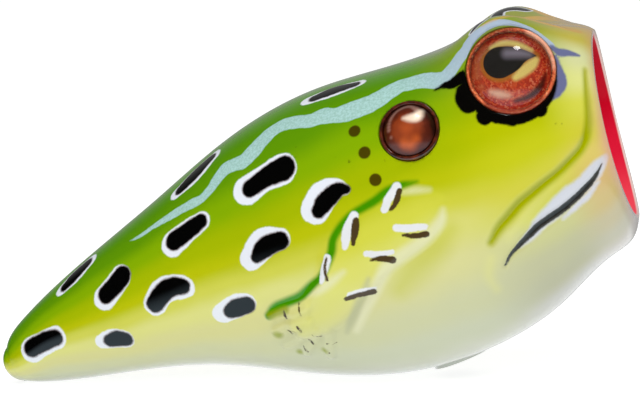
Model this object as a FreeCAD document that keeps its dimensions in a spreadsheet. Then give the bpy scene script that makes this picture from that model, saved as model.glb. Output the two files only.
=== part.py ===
"""Topwater popper: a hollow two-part frog body with eyes, ears, wire eyes, weights and a rattle.

Millimetres. The bait is built along its own axis: "along" runs from the tail tip to the mouth,
"up" is towards its back and "out" is sideways from the seam plane. It is then pitched nose-up, as
it floats, with the line tie's eye at the origin, +X to the nose, +Y to the left and +Z up.
"""
import FreeCAD
import Part
import Sketcher
import math
import os

Vector = FreeCAD.Vector
Rotation = FreeCAD.Rotation
Placement = FreeCAD.Placement

doc = FreeCAD.newDocument("TopwaterPopper")
sheet = doc.addObject("Spreadsheet::Sheet", "Sizes")

# ---------------------------------------------------------------- driving sizes

# Sections of the moulded body: place along the axis, then back, belly and half width from it.
SECTIONS = [
    ("tip", 0.0, 0.3, 2.0, 1.15),
    ("tail", 0.5, 1.35, 2.6, 2.0),
    ("heel", 3.3, 3.3, 3.85, 3.4),
    ("rump", 10.3, 6.15, 5.55, 6.0),
    ("loin", 20.4, 9.55, 8.25, 8.8),
    ("waist", 30.5, 12.9, 13.0, 11.2),
    ("back", 39.6, 14.05, 15.9, 12.6),
    ("chest", 48.7, 13.35, 16.15, 12.9),
    ("cheek", 56.8, 12.9, 14.45, 12.4),
    ("snout", 62.8, 11.45, 12.05, 11.3),
    ("lip", 65.4, 10.25, 11.1, 10.5),
    ("rim", 66.25, 9.55, 9.55, 9.5),
]

SIZES = [
    ("tip_droop", 0.85, "the tail tip's centre lies this far below the axis"),
    ("droop_end", 6.0, "where the droop has run out"),
    ("tail_squareness", 2.1, "superellipse exponent of the tail's sections"),
    ("head_squareness", 2.6, "superellipse exponent of the head's sections"),
    ("mouth_tilt", 7.6, "the mouth faces this many degrees below the axis"),
    ("tilt_start", 42.0, "where the sections begin to lean"),
    ("lip_setback", 0.5, "the corners of the mouth lie this far behind its middle"),
    ("wall", 1.5, "moulded wall"),
    ("mouth_radius", 9.15, "opening of the dished mouth"),
    ("mouth_depth", 6.0, "depth of the dish"),
    ("cavity_start", 8.5, "rear end of the hollow"),
    ("cavity_end", 60.5, "front end of the hollow"),
    ("brow_height", 4.2, "how far the brow swells"),
    ("brow_along", 58.6, "middle of the brow"),
    ("brow_up", 12.6, "middle of the brow"),
    ("brow_out", 8.6, "middle of the brow"),
    ("brow_length", 4.9, "spread of the brow along the head"),
    ("brow_spread", 4.6, "spread of the brow round the head"),
    ("seat_clearance", 0.05, "round a piece in its seat"),
    ("eye_along", 59.5, "middle of the eye"),
    ("eye_up", 9.05, "middle of the eye"),
    ("eye_out", 10.2, "from the seam plane to the face of the shell at the eye"),
    ("eye_tilt", 18.0, "degrees the eye looks up"),
    ("eye_lead", 9.0, "degrees the eye looks forward"),
    ("iris_radius", 4.35, "foil disc and its bead"),
    ("eye_sink", 1.2, "depth of the disc's seat"),
    ("iris_floor", 0.5, "foil disc under the lens"),
    ("iris_height", 1.35, "height of the bead's foot"),
    ("bead_radius", 0.26, "rounding of the bead"),
    ("lens_radius", 3.85, "clear eye dome"),
    ("lens_edge", 0.6, "straight edge of the dome"),
    ("lens_height", 2.3, "dome's full height"),
    ("lens_clearance", 0.05, "between the lens and the bead"),
    ("ear_along", 48.4, "middle of the ear"),
    ("ear_up", 7.35, "middle of the ear"),
    ("ear_out", 11.6, "from the seam plane to the face of the shell at the ear"),
    ("ear_tilt", 24.0, "degrees the ear looks up"),
    ("ear_lead", 1.0, "degrees the ear looks forward"),
    ("ear_radius", 3.0, "ear disc"),
    ("ear_sink", 0.9, "depth of the disc's seat"),
    ("ear_floor", 0.4, "disc under the dome"),
    ("ear_height", 0.9, "height of the rim's foot"),
    ("ear_bead_radius", 0.25, "rounding of the rim"),
    ("ear_dome_radius", 2.55, "coppery dome"),
    ("ear_dome_edge", 0.5, "straight edge of the dome"),
    ("ear_dome_height", 1.7, "dome's full height"),
    ("seat_boss", 1.2, "plastic round and behind a seat"),
    ("wire_radius", 0.4, "hanger wire"),
    ("ring_radius", 1.5, "hanger ring, to the middle of the wire"),
    ("ring_gap", 0.4, "between the middle lines of a hanger's two rings where they meet"),
    ("coin_depth", 0.05, "flat struck on the inside of each outer ring"),
    ("hanger_clearance", 0.05, "between the wire and the halves"),
    ("line_tie_standoff", 0.5, "the line tie's rings meet this far in front of the dish"),
    ("post_reach", 1.3, "posts and their sockets, from the seam"),
    ("belly_hanger_along", 43.3, "middle of the belly hanger"),
    ("belly_recess_radius", 2.2, "round recess that the belly ring stands in"),
    ("belly_collar_width", 0.6, "collar round the recess"),
    ("belly_collar_proud", 0.2, "how far the collar stands out"),
    ("belly_ring_sink", 0.1, "the ring lies this far inside the collar"),
    ("tail_nub_radius", 2.3, "round nub at the tip, either side of the tail ring"),
    ("tail_nub_proud", 0.7, "how far the nub stands out past the tip"),
    ("tail_ring_sink", 0.1, "the tail ring lies this far inside the nub"),
    ("tail_hanger_up", -0.75, "height of the tail hanger"),
    ("tail_slot_width", 1.6, "slot that the tail ring stands in"),
    ("tail_slot_gap", 0.15, "between the ring's edge and the slot's ends"),
    ("pin_radius", 1.0, "seam pins"),
    ("pin_boss", 1.0, "plastic round a seam pin"),
    ("pin_boss_length", 4.0, "seam pin bosses, from the seam"),
    ("nape_pin_along", 38.0, "seam pin in the back"),
    ("loin_pin_along", 22.0, "seam pin over the loin"),
    ("throat_pin_along", 54.0, "seam pin in the throat"),
    ("tail_weight_start", 10.6, "rear face of the tail weight"),
    ("tail_weight_length", 8.0, "tail weight"),
    ("tail_weight_radius", 3.0, "tail weight"),
    ("belly_weight_along", 36.0, "middle of the belly ball"),
    ("belly_weight_radius", 3.5, "belly ball"),
    ("sleeve", 1.2, "plastic round the weights and the rattle's ends"),
    ("rattle_along", 28.0, "middle of the rattle"),
    ("rattle_up", 1.5, "middle of the rattle"),
    ("rattle_radius", 3.0, "outside of the rattle tube"),
    ("rattle_wall", 0.4, "rattle tube"),
    ("rattle_length", 15.6, "rattle tube without its caps"),
    ("cap_flange", 0.8, "rattle cap outside the tube"),
    ("cap_plug", 1.2, "rattle cap inside the tube"),
    ("cap_clearance", 0.03, "between a cap's plug and the tube"),
    ("rattle_socket", 2.5, "how far a socket reaches over the tube"),
    ("ball_radius", 1.5, "rattle balls"),
    ("ball_gap", 0.05, "between one rattle ball and the next"),
    ("ball_lift", 0.02, "between a ball and the tube it rolls in"),
    ("rest_pitch", 19.4, "degrees the axis rises towards the nose as the bait floats"),
]

for name, along, back, belly, half_width in SECTIONS:
    SIZES.append((name + "_along", along, "section " + name))
    SIZES.append((name + "_back", back, "section " + name))
    SIZES.append((name + "_belly", belly, "section " + name))
    SIZES.append((name + "_half_width", half_width, "section " + name))

for row, (name, value, note) in enumerate(SIZES, start=1):
    sheet.set("A%d" % row, name)
    sheet.set("B%d" % row, str(value))
    sheet.setAlias("B%d" % row, name)
    sheet.set("C%d" % row, note)
doc.recompute()


def size(expression):
    """Value of an expression over the sheet, such as size("wall + seat_clearance")."""
    return float(sheet.evalExpression(expression))


# ---------------------------------------------------------------- the body's outer surface


def spline(places, values):
    """Natural cubic spline through (places, values), as a function."""
    count = len(places)
    gaps = [places[k + 1] - places[k] for k in range(count - 1)]
    slopes = [(values[k + 1] - values[k]) / gaps[k] for k in range(count - 1)]
    diagonal = [1.0] * count
    right = [0.0] * count
    for k in range(1, count - 1):
        carried = gaps[k - 1] / diagonal[k - 1] if k > 1 else 0.0
        diagonal[k] = 2.0 * (gaps[k - 1] + gaps[k]) - carried * gaps[k - 1]
        right[k] = 6.0 * (slopes[k] - slopes[k - 1]) - carried * right[k - 1]
    bends = [0.0] * count
    for k in range(count - 2, 0, -1):
        bends[k] = (right[k] - gaps[k] * bends[k + 1]) / diagonal[k]

    def value(place):
        k = max(j for j in range(count - 1) if j == 0 or places[j] <= place)
        near = (places[k + 1] - place) / gaps[k]
        far = 1.0 - near
        curve = (near ** 3 - near) * bends[k] + (far ** 3 - far) * bends[k + 1]
        return near * values[k] + far * values[k + 1] + curve * gaps[k] ** 2 / 6.0

    return value


def section_curves():
    """The body's along, back, belly and half width as functions of the run over its sections."""
    rows = []
    for section in SECTIONS:
        parts = ("_along", "_back", "_belly", "_half_width")
        rows.append([size(section[0] + part) for part in parts])
    runs = [0.0]
    for before, after in zip(rows, rows[1:]):
        runs.append(runs[-1] + math.dist(before, after))
    return runs, [spline(runs, [row[k] for row in rows]) for k in range(4)]


RUNS, (ALONG, BACK, BELLY, HALF_WIDTH) = section_curves()


def eased(share):
    """Smooth step from 0 to 1."""
    share = min(max(share, 0.0), 1.0)
    return share * share * (3.0 - 2.0 * share)


def lean(along):
    """How far a section leans forward at the top, in radians."""
    start = size("tilt_start")
    return math.radians(size("mouth_tilt")) * eased((along - start) / (size("rim_along") - start))


def skin_point(run, angle, inset=0.0):
    """Point of the right half's surface: angle runs from -pi/2 at the belly to pi/2 at the back."""
    along = ALONG(run)
    droop = size("tip_droop") * (1.0 - eased(along / size("droop_end")))
    height = BACK(run) + droop if angle > 0 else BELLY(run) - droop
    head = eased(along / size("chest_along"))
    power = size("tail_squareness") + (size("head_squareness") - size("tail_squareness")) * head
    across = abs(math.cos(angle)) / (HALF_WIDTH(run) - inset)
    upright = abs(math.sin(angle)) / (height - inset)
    reach = (across ** power + upright ** power) ** (-1.0 / power)
    out = reach * math.cos(angle)
    up = reach * math.sin(angle)
    from_brow = math.hypot((along - size("brow_along")) / size("brow_length"),
                           math.hypot(up - size("brow_up"), out - size("brow_out")) / size("brow_spread"))
    reach += size("brow_height") * math.exp(-from_brow ** 2)
    up = reach * math.sin(angle) - droop
    behind = size("lip_setback") * math.cos(angle) ** 2 * eased((along / size("rim_along") - 0.8) / 0.2)
    tilt = lean(along)
    # Rounded so that the seam lies exactly in the plane between the halves.
    return Vector(along + up * math.sin(tilt) - behind, round(-reach * math.cos(angle), 9),
                  up * math.cos(tilt))


def half_solid(name, side, first, last, inset, rows, columns):
    """One half of the body's outer or inner shape, closed on the seam plane and at both ends."""
    grid = []
    for k in range(rows + 1):
        run = first + (last - first) * k / rows
        line = []
        for j in range(columns + 1):
            point = skin_point(run, math.pi * (j / columns - 0.5), inset)
            line.append(Vector(point.x, -side * point.y, point.z))
        grid.append(line)
    surface = Part.BSplineSurface()
    surface.interpolate(grid)
    skin = surface.toShape()
    edges = {}
    for edge in skin.Edges:
        middle = edge.valueAt((edge.FirstParameter + edge.LastParameter) / 2.0)
        ends = [vertex.Point for vertex in edge.Vertexes]
        if max(abs(end.y) for end in ends) < 1e-6 and abs(middle.y) < 1e-6:
            edges["belly" if middle.z < 0 else "back"] = edge
        else:
            edges["rear" if middle.x < 0.5 * (grid[0][0].x + grid[-1][0].x) else "front"] = edge
    seam = [edges["belly"], edges["back"]]
    caps = []
    for end, row in (("rear", grid[0]), ("front", grid[-1])):
        straight = Part.LineSegment(row[0], row[-1]).toShape()
        seam.append(straight)
        caps.append(Part.makeRuledSurface(edges[end], straight))
    seam_face = Part.Face(Part.Wire(Part.__sortEdges__(seam)))
    hull = Part.makeShell([skin, seam_face] + caps)
    hull.sewShape()
    solid = Part.makeSolid(hull)
    if solid.Volume < 0:
        solid.reverse()
    feature = doc.addObject("Part::Feature", name)
    feature.Shape = solid
    return feature


# ---------------------------------------------------------------- small builders


def bound(feature, **expressions):
    """Bind a feature's sizes to expressions over the sheet."""
    for name, expression in expressions.items():
        feature.setExpression(name, expression)
    return feature


def at(feature, along="0", out="0", up="0", axis=None, degrees=0.0):
    """Place a feature by expressions, turned about one of the bait's own axes."""
    if axis:
        feature.Placement = Placement(Vector(), Rotation(axis, degrees))
    feature.setExpression("Placement.Base.x", along)
    feature.setExpression("Placement.Base.y", out)
    feature.setExpression("Placement.Base.z", up)
    return feature


def rod(name, radius, length, along="0", out="0", up="0", axis=None, degrees=0.0):
    """Cylinder that starts at its place and runs along its turned Z axis."""
    feature = bound(doc.addObject("Part::Cylinder", name), Radius=radius, Height=length)
    return at(feature, along, out, up, axis, degrees)


def cross_rod(name, radius, near, length, along, up):
    """Cylinder across the bait, from out = near towards the left."""
    return rod(name, radius, length, along, near, up, Vector(1, 0, 0), -90)


def ball(name, radius, along="0", out="0", up="0"):
    """Sphere."""
    return at(bound(doc.addObject("Part::Sphere", name), Radius=radius), along, out, up)


def ring(name, along, up):
    """Torus of hanger wire that stands in the seam plane."""
    feature = bound(doc.addObject("Part::Torus", name),
                    Radius1="Sizes.ring_radius", Radius2="Sizes.wire_radius")
    return at(feature, along, "0", up, Vector(1, 0, 0), 90)


def cut(name, base, tool):
    """Base without tool."""
    feature = doc.addObject("Part::Cut", name)
    feature.Base = base
    feature.Tool = tool
    return feature


def common(name, base, tool):
    """What base and tool share."""
    feature = doc.addObject("Part::Common", name)
    feature.Base = base
    feature.Tool = tool
    return feature


def fuse(name, shapes):
    """All shapes as one."""
    feature = doc.addObject("Part::MultiFuse", name)
    feature.Shapes = shapes
    return feature


def turned(name, outline):
    """Body turned about its own Z from an outline of (radius, height) expressions, anticlockwise.

    A third value rounds the stretch that leads to a point: "dome" puts the arc's centre on the
    axis, and any other value is the arc's radius.
    """
    body = doc.addObject("PartDesign::Body", name)
    sketch = body.newObject("Sketcher::SketchObject", name + "_outline")
    plane = [feature for feature in body.Origin.OriginFeatures if feature.Role == "XZ_Plane"][0]
    sketch.AttachmentSupport = [(plane, "")]
    sketch.MapMode = "FlatFace"
    points = [Vector(size(corner[0]), size(corner[1]), 0) for corner in outline]
    for k, corner in enumerate(outline):
        start = points[k - 1]
        end = points[k]
        if len(corner) == 2:
            sketch.addGeometry(Part.LineSegment(start, end))
            continue
        if corner[2] == "dome":
            rise = end.y - start.y
            centre = Vector(0, end.y - (start.x ** 2 + rise ** 2) / (2.0 * rise), 0)
        else:
            below = math.sqrt(size(corner[2]) ** 2 - (start.x - end.x) ** 2 / 4.0)
            centre = Vector((start.x + end.x) / 2.0, start.y - below, 0)
        circle = Part.Circle(centre, Vector(0, 0, 1), start.sub(centre).Length)
        angles = [math.atan2(point.y - centre.y, point.x - centre.x) for point in (start, end)]
        sketch.addGeometry(Part.ArcOfCircle(circle, angles[0], angles[1]))
    for k, corner in enumerate(outline):
        sketch.addConstraint(Sketcher.Constraint("Coincident", k, 2, (k + 1) % len(outline), 1))
        for kind, place, expression, axis in (("DistanceX", points[k].x, corner[0], -2),
                                              ("DistanceY", points[k].y, corner[1], -1)):
            if expression == "0":
                sketch.addConstraint(Sketcher.Constraint("PointOnObject", k, 2, axis))
            else:
                index = sketch.addConstraint(Sketcher.Constraint(kind, -1, 1, k, 2, place))
                sketch.setExpression("Constraints[%d]" % index, expression)
        if len(corner) == 3 and corner[2] == "dome":
            sketch.addConstraint(Sketcher.Constraint("PointOnObject", k, 3, -2))
        elif len(corner) == 3:
            index = sketch.addConstraint(Sketcher.Constraint("Radius", k, size(corner[2])))
            sketch.setExpression("Constraints[%d]" % index, corner[2])
    turn = body.newObject("PartDesign::Revolution", name + "_turn")
    turn.Profile = sketch
    turn.ReferenceAxis = (sketch, ["V_Axis"])
    turn.Angle = 360.0
    return body


NODES = {}


def node(name, feature, local=None):
    """Keep a finished piece under its name, with its place in the bait."""
    feature.Label = name
    NODES[name] = (feature, local or Placement())


# ---------------------------------------------------------------- places worked out from the skin


def run_at(along):
    """Run over the sections at which the axis reaches this place."""
    low, high = RUNS[0], RUNS[-1]
    while high - low > 1e-7:
        middle = (low + high) / 2.0
        low, high = (middle, high) if ALONG(middle) < along else (low, middle)
    return low


def back_at(along):
    """Height of the back on the seam."""
    return skin_point(run_at(along), math.pi / 2).z


def belly_at(along):
    """Height of the belly on the seam."""
    return skin_point(run_at(along), -math.pi / 2).z


def seat(side, kind):
    """Place of the eye's or the ear's seat floor: +Z looks out of the head."""
    tilt = math.radians(size("Sizes.%s_tilt" % kind))
    lead = math.radians(size("Sizes.%s_lead" % kind))
    level = math.cos(tilt)
    look = Vector(level * math.sin(lead), side * level * math.cos(lead), math.sin(tilt))
    along, out, up = [size("Sizes.%s_%s" % (kind, way)) for way in ("along", "out", "up")]
    floor = Vector(along, side * out, up).sub(look.multiply(size("Sizes.%s_sink" % kind)))
    return Placement(floor, Rotation(Vector(0, 0, 1), look))


def behind_rim(distance):
    """Along and up of the point this far behind the middle of the mouth's rim."""
    along = "Sizes.rim_along - (%s) * cos(Sizes.mouth_tilt)" % distance
    up = "(%s) * sin(Sizes.mouth_tilt)" % distance
    return along, up


DISH_RADIUS = "(Sizes.mouth_radius ^ 2 + Sizes.mouth_depth ^ 2) / (2 * Sizes.mouth_depth)"
DISH_AHEAD = "(Sizes.mouth_radius ^ 2 - Sizes.mouth_depth ^ 2) / (2 * Sizes.mouth_depth)"
DISH_CENTRE = behind_rim("-(%s)" % DISH_AHEAD)
HALF_PITCH = "(Sizes.ring_radius + Sizes.ring_gap / 2)"
RING_EDGE = "(Sizes.ring_radius + Sizes.wire_radius)"
POST = "Sizes.ring_radius - Sizes.wire_radius - Sizes.hanger_clearance"

belly_face = belly_at(size("belly_hanger_along")) - size("belly_collar_proud")
belly_ring_up = belly_face + size("belly_ring_sink + ring_radius + wire_radius")
TAIL_RING = "Sizes.tail_ring_sink - Sizes.tail_nub_proud + " + RING_EDGE

# Each hanger's outer ring, the ring that the halves hold, and the height or place of both.
HANGERS = {
    "line_tie": (behind_rim("Sizes.mouth_depth - Sizes.line_tie_standoff - " + HALF_PITCH),
                 behind_rim("Sizes.mouth_depth - Sizes.line_tie_standoff + " + HALF_PITCH)),
    "belly_hanger": (("Sizes.belly_hanger_along", str(belly_ring_up)),
                     ("Sizes.belly_hanger_along", "%r + 2 * %s" % (belly_ring_up, HALF_PITCH))),
    "tail_hanger": ((TAIL_RING, "Sizes.tail_hanger_up"),
                    (TAIL_RING + " + 2 * " + HALF_PITCH, "Sizes.tail_hanger_up")),
}


# ---------------------------------------------------------------- wire hangers


def hanger(name):
    """Wire bent into two rings, the outer one struck flat on its inside."""
    outer, inner = HANGERS[name]
    wire = fuse(name + "_wire", [ring(name + "_outer", *outer), ring(name + "_inner", *inner)])
    coin = cross_rod(name + "_coin", "Sizes.ring_radius - Sizes.wire_radius + Sizes.coin_depth",
                     "-2 * Sizes.wire_radius", "4 * Sizes.wire_radius", *outer)
    node(name, cut(name, wire, coin))


for name in HANGERS:
    hanger(name)


# ---------------------------------------------------------------- eyes and ears

for side, word in ((-1, "right"), (1, "left")):
    lens_seat = "Sizes.lens_radius + Sizes.lens_clearance"
    iris = turned("iris_disc_" + word, [
        ("0", "0"),
        ("Sizes.iris_radius", "0"),
        ("Sizes.iris_radius", "Sizes.iris_height"),
        (lens_seat, "Sizes.iris_height", "Sizes.bead_radius"),
        (lens_seat, "Sizes.iris_floor"),
        ("0", "Sizes.iris_floor"),
    ])
    node("iris_disc_" + word, iris, seat(side, "eye"))
    lens = turned("eye_lens_" + word, [
        ("0", "0"),
        ("Sizes.lens_radius", "0"),
        ("Sizes.lens_radius", "Sizes.lens_edge"),
        ("0", "Sizes.lens_height", "dome"),
    ])
    lift = Placement(Vector(0, 0, size("iris_floor")), Rotation())
    node("eye_lens_" + word, lens, seat(side, "eye").multiply(lift))
    dome_seat = "Sizes.ear_dome_radius + Sizes.lens_clearance"
    disc = turned("ear_disc_" + word, [
        ("0", "0"),
        ("Sizes.ear_radius", "0"),
        ("Sizes.ear_radius", "Sizes.ear_height"),
        (dome_seat, "Sizes.ear_height", "Sizes.ear_bead_radius"),
        (dome_seat, "Sizes.ear_floor"),
        ("0", "Sizes.ear_floor"),
    ])
    node("ear_disc_" + word, disc, seat(side, "ear"))
    dome = turned("ear_dome_" + word, [
        ("0", "0"),
        ("Sizes.ear_dome_radius", "0"),
        ("Sizes.ear_dome_radius", "Sizes.ear_dome_edge"),
        ("0", "Sizes.ear_dome_height", "dome"),
    ])
    lift = Placement(Vector(0, 0, size("ear_floor")), Rotation())
    node("ear_dome_" + word, dome, seat(side, "ear").multiply(lift))


# ---------------------------------------------------------------- weights

LENGTHWISE = Vector(0, 1, 0)  # a rod turned 90 degrees about this axis runs along the bait

weight = bound(doc.addObject("Part::Cylinder", "tail_weight"),
               Radius="Sizes.tail_weight_radius", Height="Sizes.tail_weight_length")
node("tail_weight", weight, Placement(Vector(size("tail_weight_start"), 0, 0), Rotation(LENGTHWISE, 90)))

belly_ball_up = belly_at(size("belly_weight_along")) + size("wall + seat_clearance + belly_weight_radius")
weight = bound(doc.addObject("Part::Sphere", "belly_weight"), Radius="Sizes.belly_weight_radius")
node("belly_weight", weight, Placement(Vector(size("belly_weight_along"), 0, belly_ball_up), Rotation()))


# ---------------------------------------------------------------- rattle

RATTLE = ("Sizes.rattle_along", "Sizes.rattle_up")
RATTLE_BORE = "(Sizes.rattle_radius - Sizes.rattle_wall)"
RATTLE_HALF = "(Sizes.rattle_length / 2 + Sizes.cap_flange)"

tube = cross_rod("rattle_outside", "Sizes.rattle_radius", "-Sizes.rattle_length / 2",
                 "Sizes.rattle_length", *RATTLE)
bore = cross_rod("rattle_bore", RATTLE_BORE, "-Sizes.rattle_length / 2", "Sizes.rattle_length", *RATTLE)
node("rattle_tube", cut("rattle_tube", tube, bore))

for word, flange_start, plug_start in (
        ("right", "-" + RATTLE_HALF, "-Sizes.rattle_length / 2"),
        ("left", "Sizes.rattle_length / 2", "Sizes.rattle_length / 2 - Sizes.cap_plug")):
    name = "rattle_cap_" + word
    flange = cross_rod(name + "_flange", "Sizes.rattle_radius", flange_start, "Sizes.cap_flange", *RATTLE)
    plug = cross_rod(name + "_plug", RATTLE_BORE + " - Sizes.cap_clearance", plug_start,
                     "Sizes.cap_plug", *RATTLE)
    node(name, fuse(name, [flange, plug]))

pitch = math.radians(size("rest_pitch"))
drop = size(RATTLE_BORE + " - Sizes.ball_radius - Sizes.ball_lift")
for k, word in ((-1, "right"), (0, "middle"), (1, "left")):
    name = "rattle_ball_" + word
    place = Vector(size("rattle_along") - drop * math.sin(pitch), k * size("2 * ball_radius + ball_gap"),
                   size("rattle_up") - drop * math.cos(pitch))
    shot = bound(doc.addObject("Part::Sphere", name), Radius="Sizes.ball_radius")
    node(name, shot, Placement(place, Rotation()))


# ---------------------------------------------------------------- the two halves of the body

# Seam pins: along and up of each.
PIN_INSET = size("wall + pin_radius + pin_boss / 2")
PINS = {
    "nape": ("Sizes.nape_pin_along", str(back_at(size("nape_pin_along")) - PIN_INSET)),
    "loin": ("Sizes.loin_pin_along", str(back_at(size("loin_pin_along")) - PIN_INSET)),
    "throat": ("Sizes.throat_pin_along", str(belly_at(size("throat_pin_along")) + PIN_INSET)),
}


def fixed_seats(word, side, grow):
    """Seat cylinders of the eye and the ear, grown into their bosses or cut as pockets."""
    made = []
    for kind, piece in (("eye", "iris"), ("ear", "ear")):
        pocket = doc.addObject("Part::Cylinder", "%s_%s_%s" % (kind, "boss" if grow else "pocket", word))
        place = seat(side, kind)
        radius = "Sizes.%s_radius + Sizes.seat_clearance" % piece
        if grow:
            bound(pocket, Radius=radius + " + Sizes.seat_boss",
                  Height="Sizes.%s_sink + Sizes.seat_boss" % kind)
            place = place.multiply(Placement(Vector(0, 0, -size("seat_boss")), Rotation()))
        else:
            bound(pocket, Radius=radius, Height="Sizes.%s_sink + Sizes.brow_height" % kind)
        pocket.Placement = place
        made.append(pocket)
    return made


def bosses(word, side):
    """Plastic inside a half that holds the hangers, pins, weights, rattle, eye and ear."""
    made = fixed_seats(word, side, True)
    reach = "(Sizes.post_reach + Sizes.seat_boss)"
    for name, (outer, inner) in HANGERS.items():
        made.append(cross_rod("%s_boss_%s" % (name, word),
                              RING_EDGE + " + Sizes.hanger_clearance + Sizes.seat_boss",
                              "-" + reach, "2 * " + reach, *inner))
    for name, place in PINS.items():
        made.append(cross_rod("%s_boss_%s" % (name, word), "Sizes.pin_radius + Sizes.pin_boss",
                              "-Sizes.pin_boss_length", "2 * Sizes.pin_boss_length", *place))
    made.append(rod("belly_recess_boss_" + word, "Sizes.belly_recess_radius + Sizes.seat_boss",
                    "%r + %s - (%r) + Sizes.hanger_clearance + Sizes.seat_boss"
                    % (belly_ring_up, HALF_PITCH, belly_face),
                    "Sizes.belly_hanger_along", "0", str(belly_face)))
    round_it = " + Sizes.seat_clearance + Sizes.sleeve"
    made.append(rod("tail_sleeve_" + word, "Sizes.tail_weight_radius" + round_it,
                    "Sizes.tail_weight_length + 2 * (Sizes.seat_clearance + Sizes.sleeve)",
                    "Sizes.tail_weight_start - Sizes.seat_clearance - Sizes.sleeve",
                    axis=LENGTHWISE, degrees=90))
    made.append(ball("belly_sleeve_" + word, "Sizes.belly_weight_radius" + round_it,
                     "Sizes.belly_weight_along", "0", str(belly_ball_up)))
    far = "(%s%s)" % (RATTLE_HALF, round_it)
    length = "Sizes.rattle_socket" + round_it
    start = "-" + far if side < 0 else "%s - (%s)" % (far, length)
    made.append(cross_rod("rattle_socket_" + word, "Sizes.rattle_radius" + round_it, start, length, *RATTLE))
    return made


def pockets(word, side):
    """What is cut out of a half: the mouth's dish and every seat."""
    made = fixed_seats(word, side, False)
    made.append(ball("dish_" + word, DISH_RADIUS, DISH_CENTRE[0], "0", DISH_CENTRE[1]))
    depth = "(Sizes.wire_radius + Sizes.hanger_clearance)"
    for name, (outer, inner) in HANGERS.items():
        made.append(cross_rod("%s_pocket_%s" % (name, word), RING_EDGE + " + Sizes.hanger_clearance",
                              "-" + depth, "2 * " + depth, *inner))
    made.append(rod("belly_recess_" + word, "Sizes.belly_recess_radius",
                    "%r + %s - (%r) + Sizes.hanger_clearance + Sizes.wall"
                    % (belly_ring_up, HALF_PITCH, belly_face),
                    "Sizes.belly_hanger_along", "0", "%r - Sizes.wall" % belly_face))
    slot = bound(doc.addObject("Part::Box", "tail_slot_" + word), Width="Sizes.tail_slot_width",
                 Length=TAIL_RING + " + " + HALF_PITCH + " + Sizes.hanger_clearance + Sizes.wall",
                 Height="2 * (%s + Sizes.tail_slot_gap)" % RING_EDGE)
    made.append(at(slot, "-Sizes.wall", "-Sizes.tail_slot_width / 2",
                   "Sizes.tail_hanger_up - %s - Sizes.tail_slot_gap" % RING_EDGE))
    made.append(rod("tail_weight_pocket_" + word, "Sizes.tail_weight_radius + Sizes.seat_clearance",
                    "Sizes.tail_weight_length + 2 * Sizes.seat_clearance",
                    "Sizes.tail_weight_start - Sizes.seat_clearance", axis=LENGTHWISE, degrees=90))
    made.append(ball("belly_weight_pocket_" + word, "Sizes.belly_weight_radius + Sizes.seat_clearance",
                     "Sizes.belly_weight_along", "0", str(belly_ball_up)))
    half = "(%s + Sizes.seat_clearance)" % RATTLE_HALF
    made.append(cross_rod("rattle_pocket_" + word, "Sizes.rattle_radius + Sizes.seat_clearance",
                          "-" + half, "2 * " + half, *RATTLE))
    return made


def seam_posts(word, spare):
    """The hangers' posts and the seam pins, or with a spare clearance the sockets they enter."""
    made = []
    reach = "(Sizes.post_reach + %s)" % spare
    for name, (outer, inner) in HANGERS.items():
        made.append(cross_rod("%s_post_%s" % (name, word), "%s + %s" % (POST, spare),
                              "-" + reach, "2 * " + reach, *inner))
    for name, place in PINS.items():
        made.append(cross_rod("%s_pin_%s" % (name, word), "Sizes.pin_radius + " + spare,
                              "-" + reach, "2 * " + reach, *place))
    return made


def half_of(feature, side):
    """The part of a feature on one side of the seam plane."""
    room = bound(doc.addObject("Part::Box", feature.Name + "_room"), Length="2 * Sizes.rim_along",
                 Width="Sizes.rim_along", Height="2 * Sizes.rim_along")
    at(room, "-Sizes.rim_along / 2", "-Sizes.rim_along" if side < 0 else "0", "-Sizes.rim_along")
    return common(feature.Name + "_half", feature, room)


def half_shell(side, word):
    """One moulded half: skin, inside bosses and pockets."""
    outer = half_solid("outside_" + word, side, RUNS[0], RUNS[-1], 0.0, 60, 24)
    hollow = half_solid("hollow_" + word, side, run_at(size("cavity_start")), run_at(size("cavity_end")),
                        size("wall"), 48, 24)
    dish_back = ball("dish_back_" + word, DISH_RADIUS + " + Sizes.wall", DISH_CENTRE[0], "0", DISH_CENTRE[1])
    skin = cut("skin_" + word, outer, cut("cavity_" + word, hollow, dish_back))
    inside = common("inside_" + word, fuse("bosses_" + word, bosses(word, side)), outer)
    collar = rod("belly_collar_" + word, "Sizes.belly_recess_radius + Sizes.belly_collar_width",
                 "Sizes.belly_collar_proud + Sizes.wall", "Sizes.belly_hanger_along", "0", str(belly_face))
    nub = ball("tail_nub_" + word, "Sizes.tail_nub_radius", "Sizes.tail_nub_radius - Sizes.tail_nub_proud",
               "0", "Sizes.tail_hanger_up")
    solid = fuse("solid_" + word, [skin, inside, half_of(collar, side), half_of(nub, side)])
    tools = pockets(word, side)
    if side > 0:
        tools += seam_posts(word, "Sizes.seat_clearance")
        return cut("shell_" + word, solid, fuse("cutters_" + word, tools))
    open_half = cut("open_" + word, solid, fuse("cutters_" + word, tools))
    return fuse("shell_" + word, [open_half] + seam_posts(word, "0"))


for side, word in ((-1, "right"), (1, "left")):
    node("shell_" + word, half_shell(side, word))


# ---------------------------------------------------------------- set the bait afloat and write it

nose_up = Rotation(Vector(0, 1, 0), -size("rest_pitch"))
tie_along, tie_up = HANGERS["line_tie"][0]
tie = nose_up.multVec(Vector(size(tie_along), 0, size(tie_up)))
afloat = Placement(Vector(-tie.x, 0, -tie.z), nose_up)
for feature, local in NODES.values():
    feature.Placement = afloat.multiply(local)
doc.recompute()

for feature in doc.Objects:
    if "Invalid" in feature.State or "Error" in feature.State:
        raise RuntimeError("%s failed: %s" % (feature.Name, feature.State))
for name, (feature, local) in NODES.items():
    if feature.Shape.isNull() or not feature.Shape.isValid():
        raise RuntimeError(name + " has no valid shape")

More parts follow.
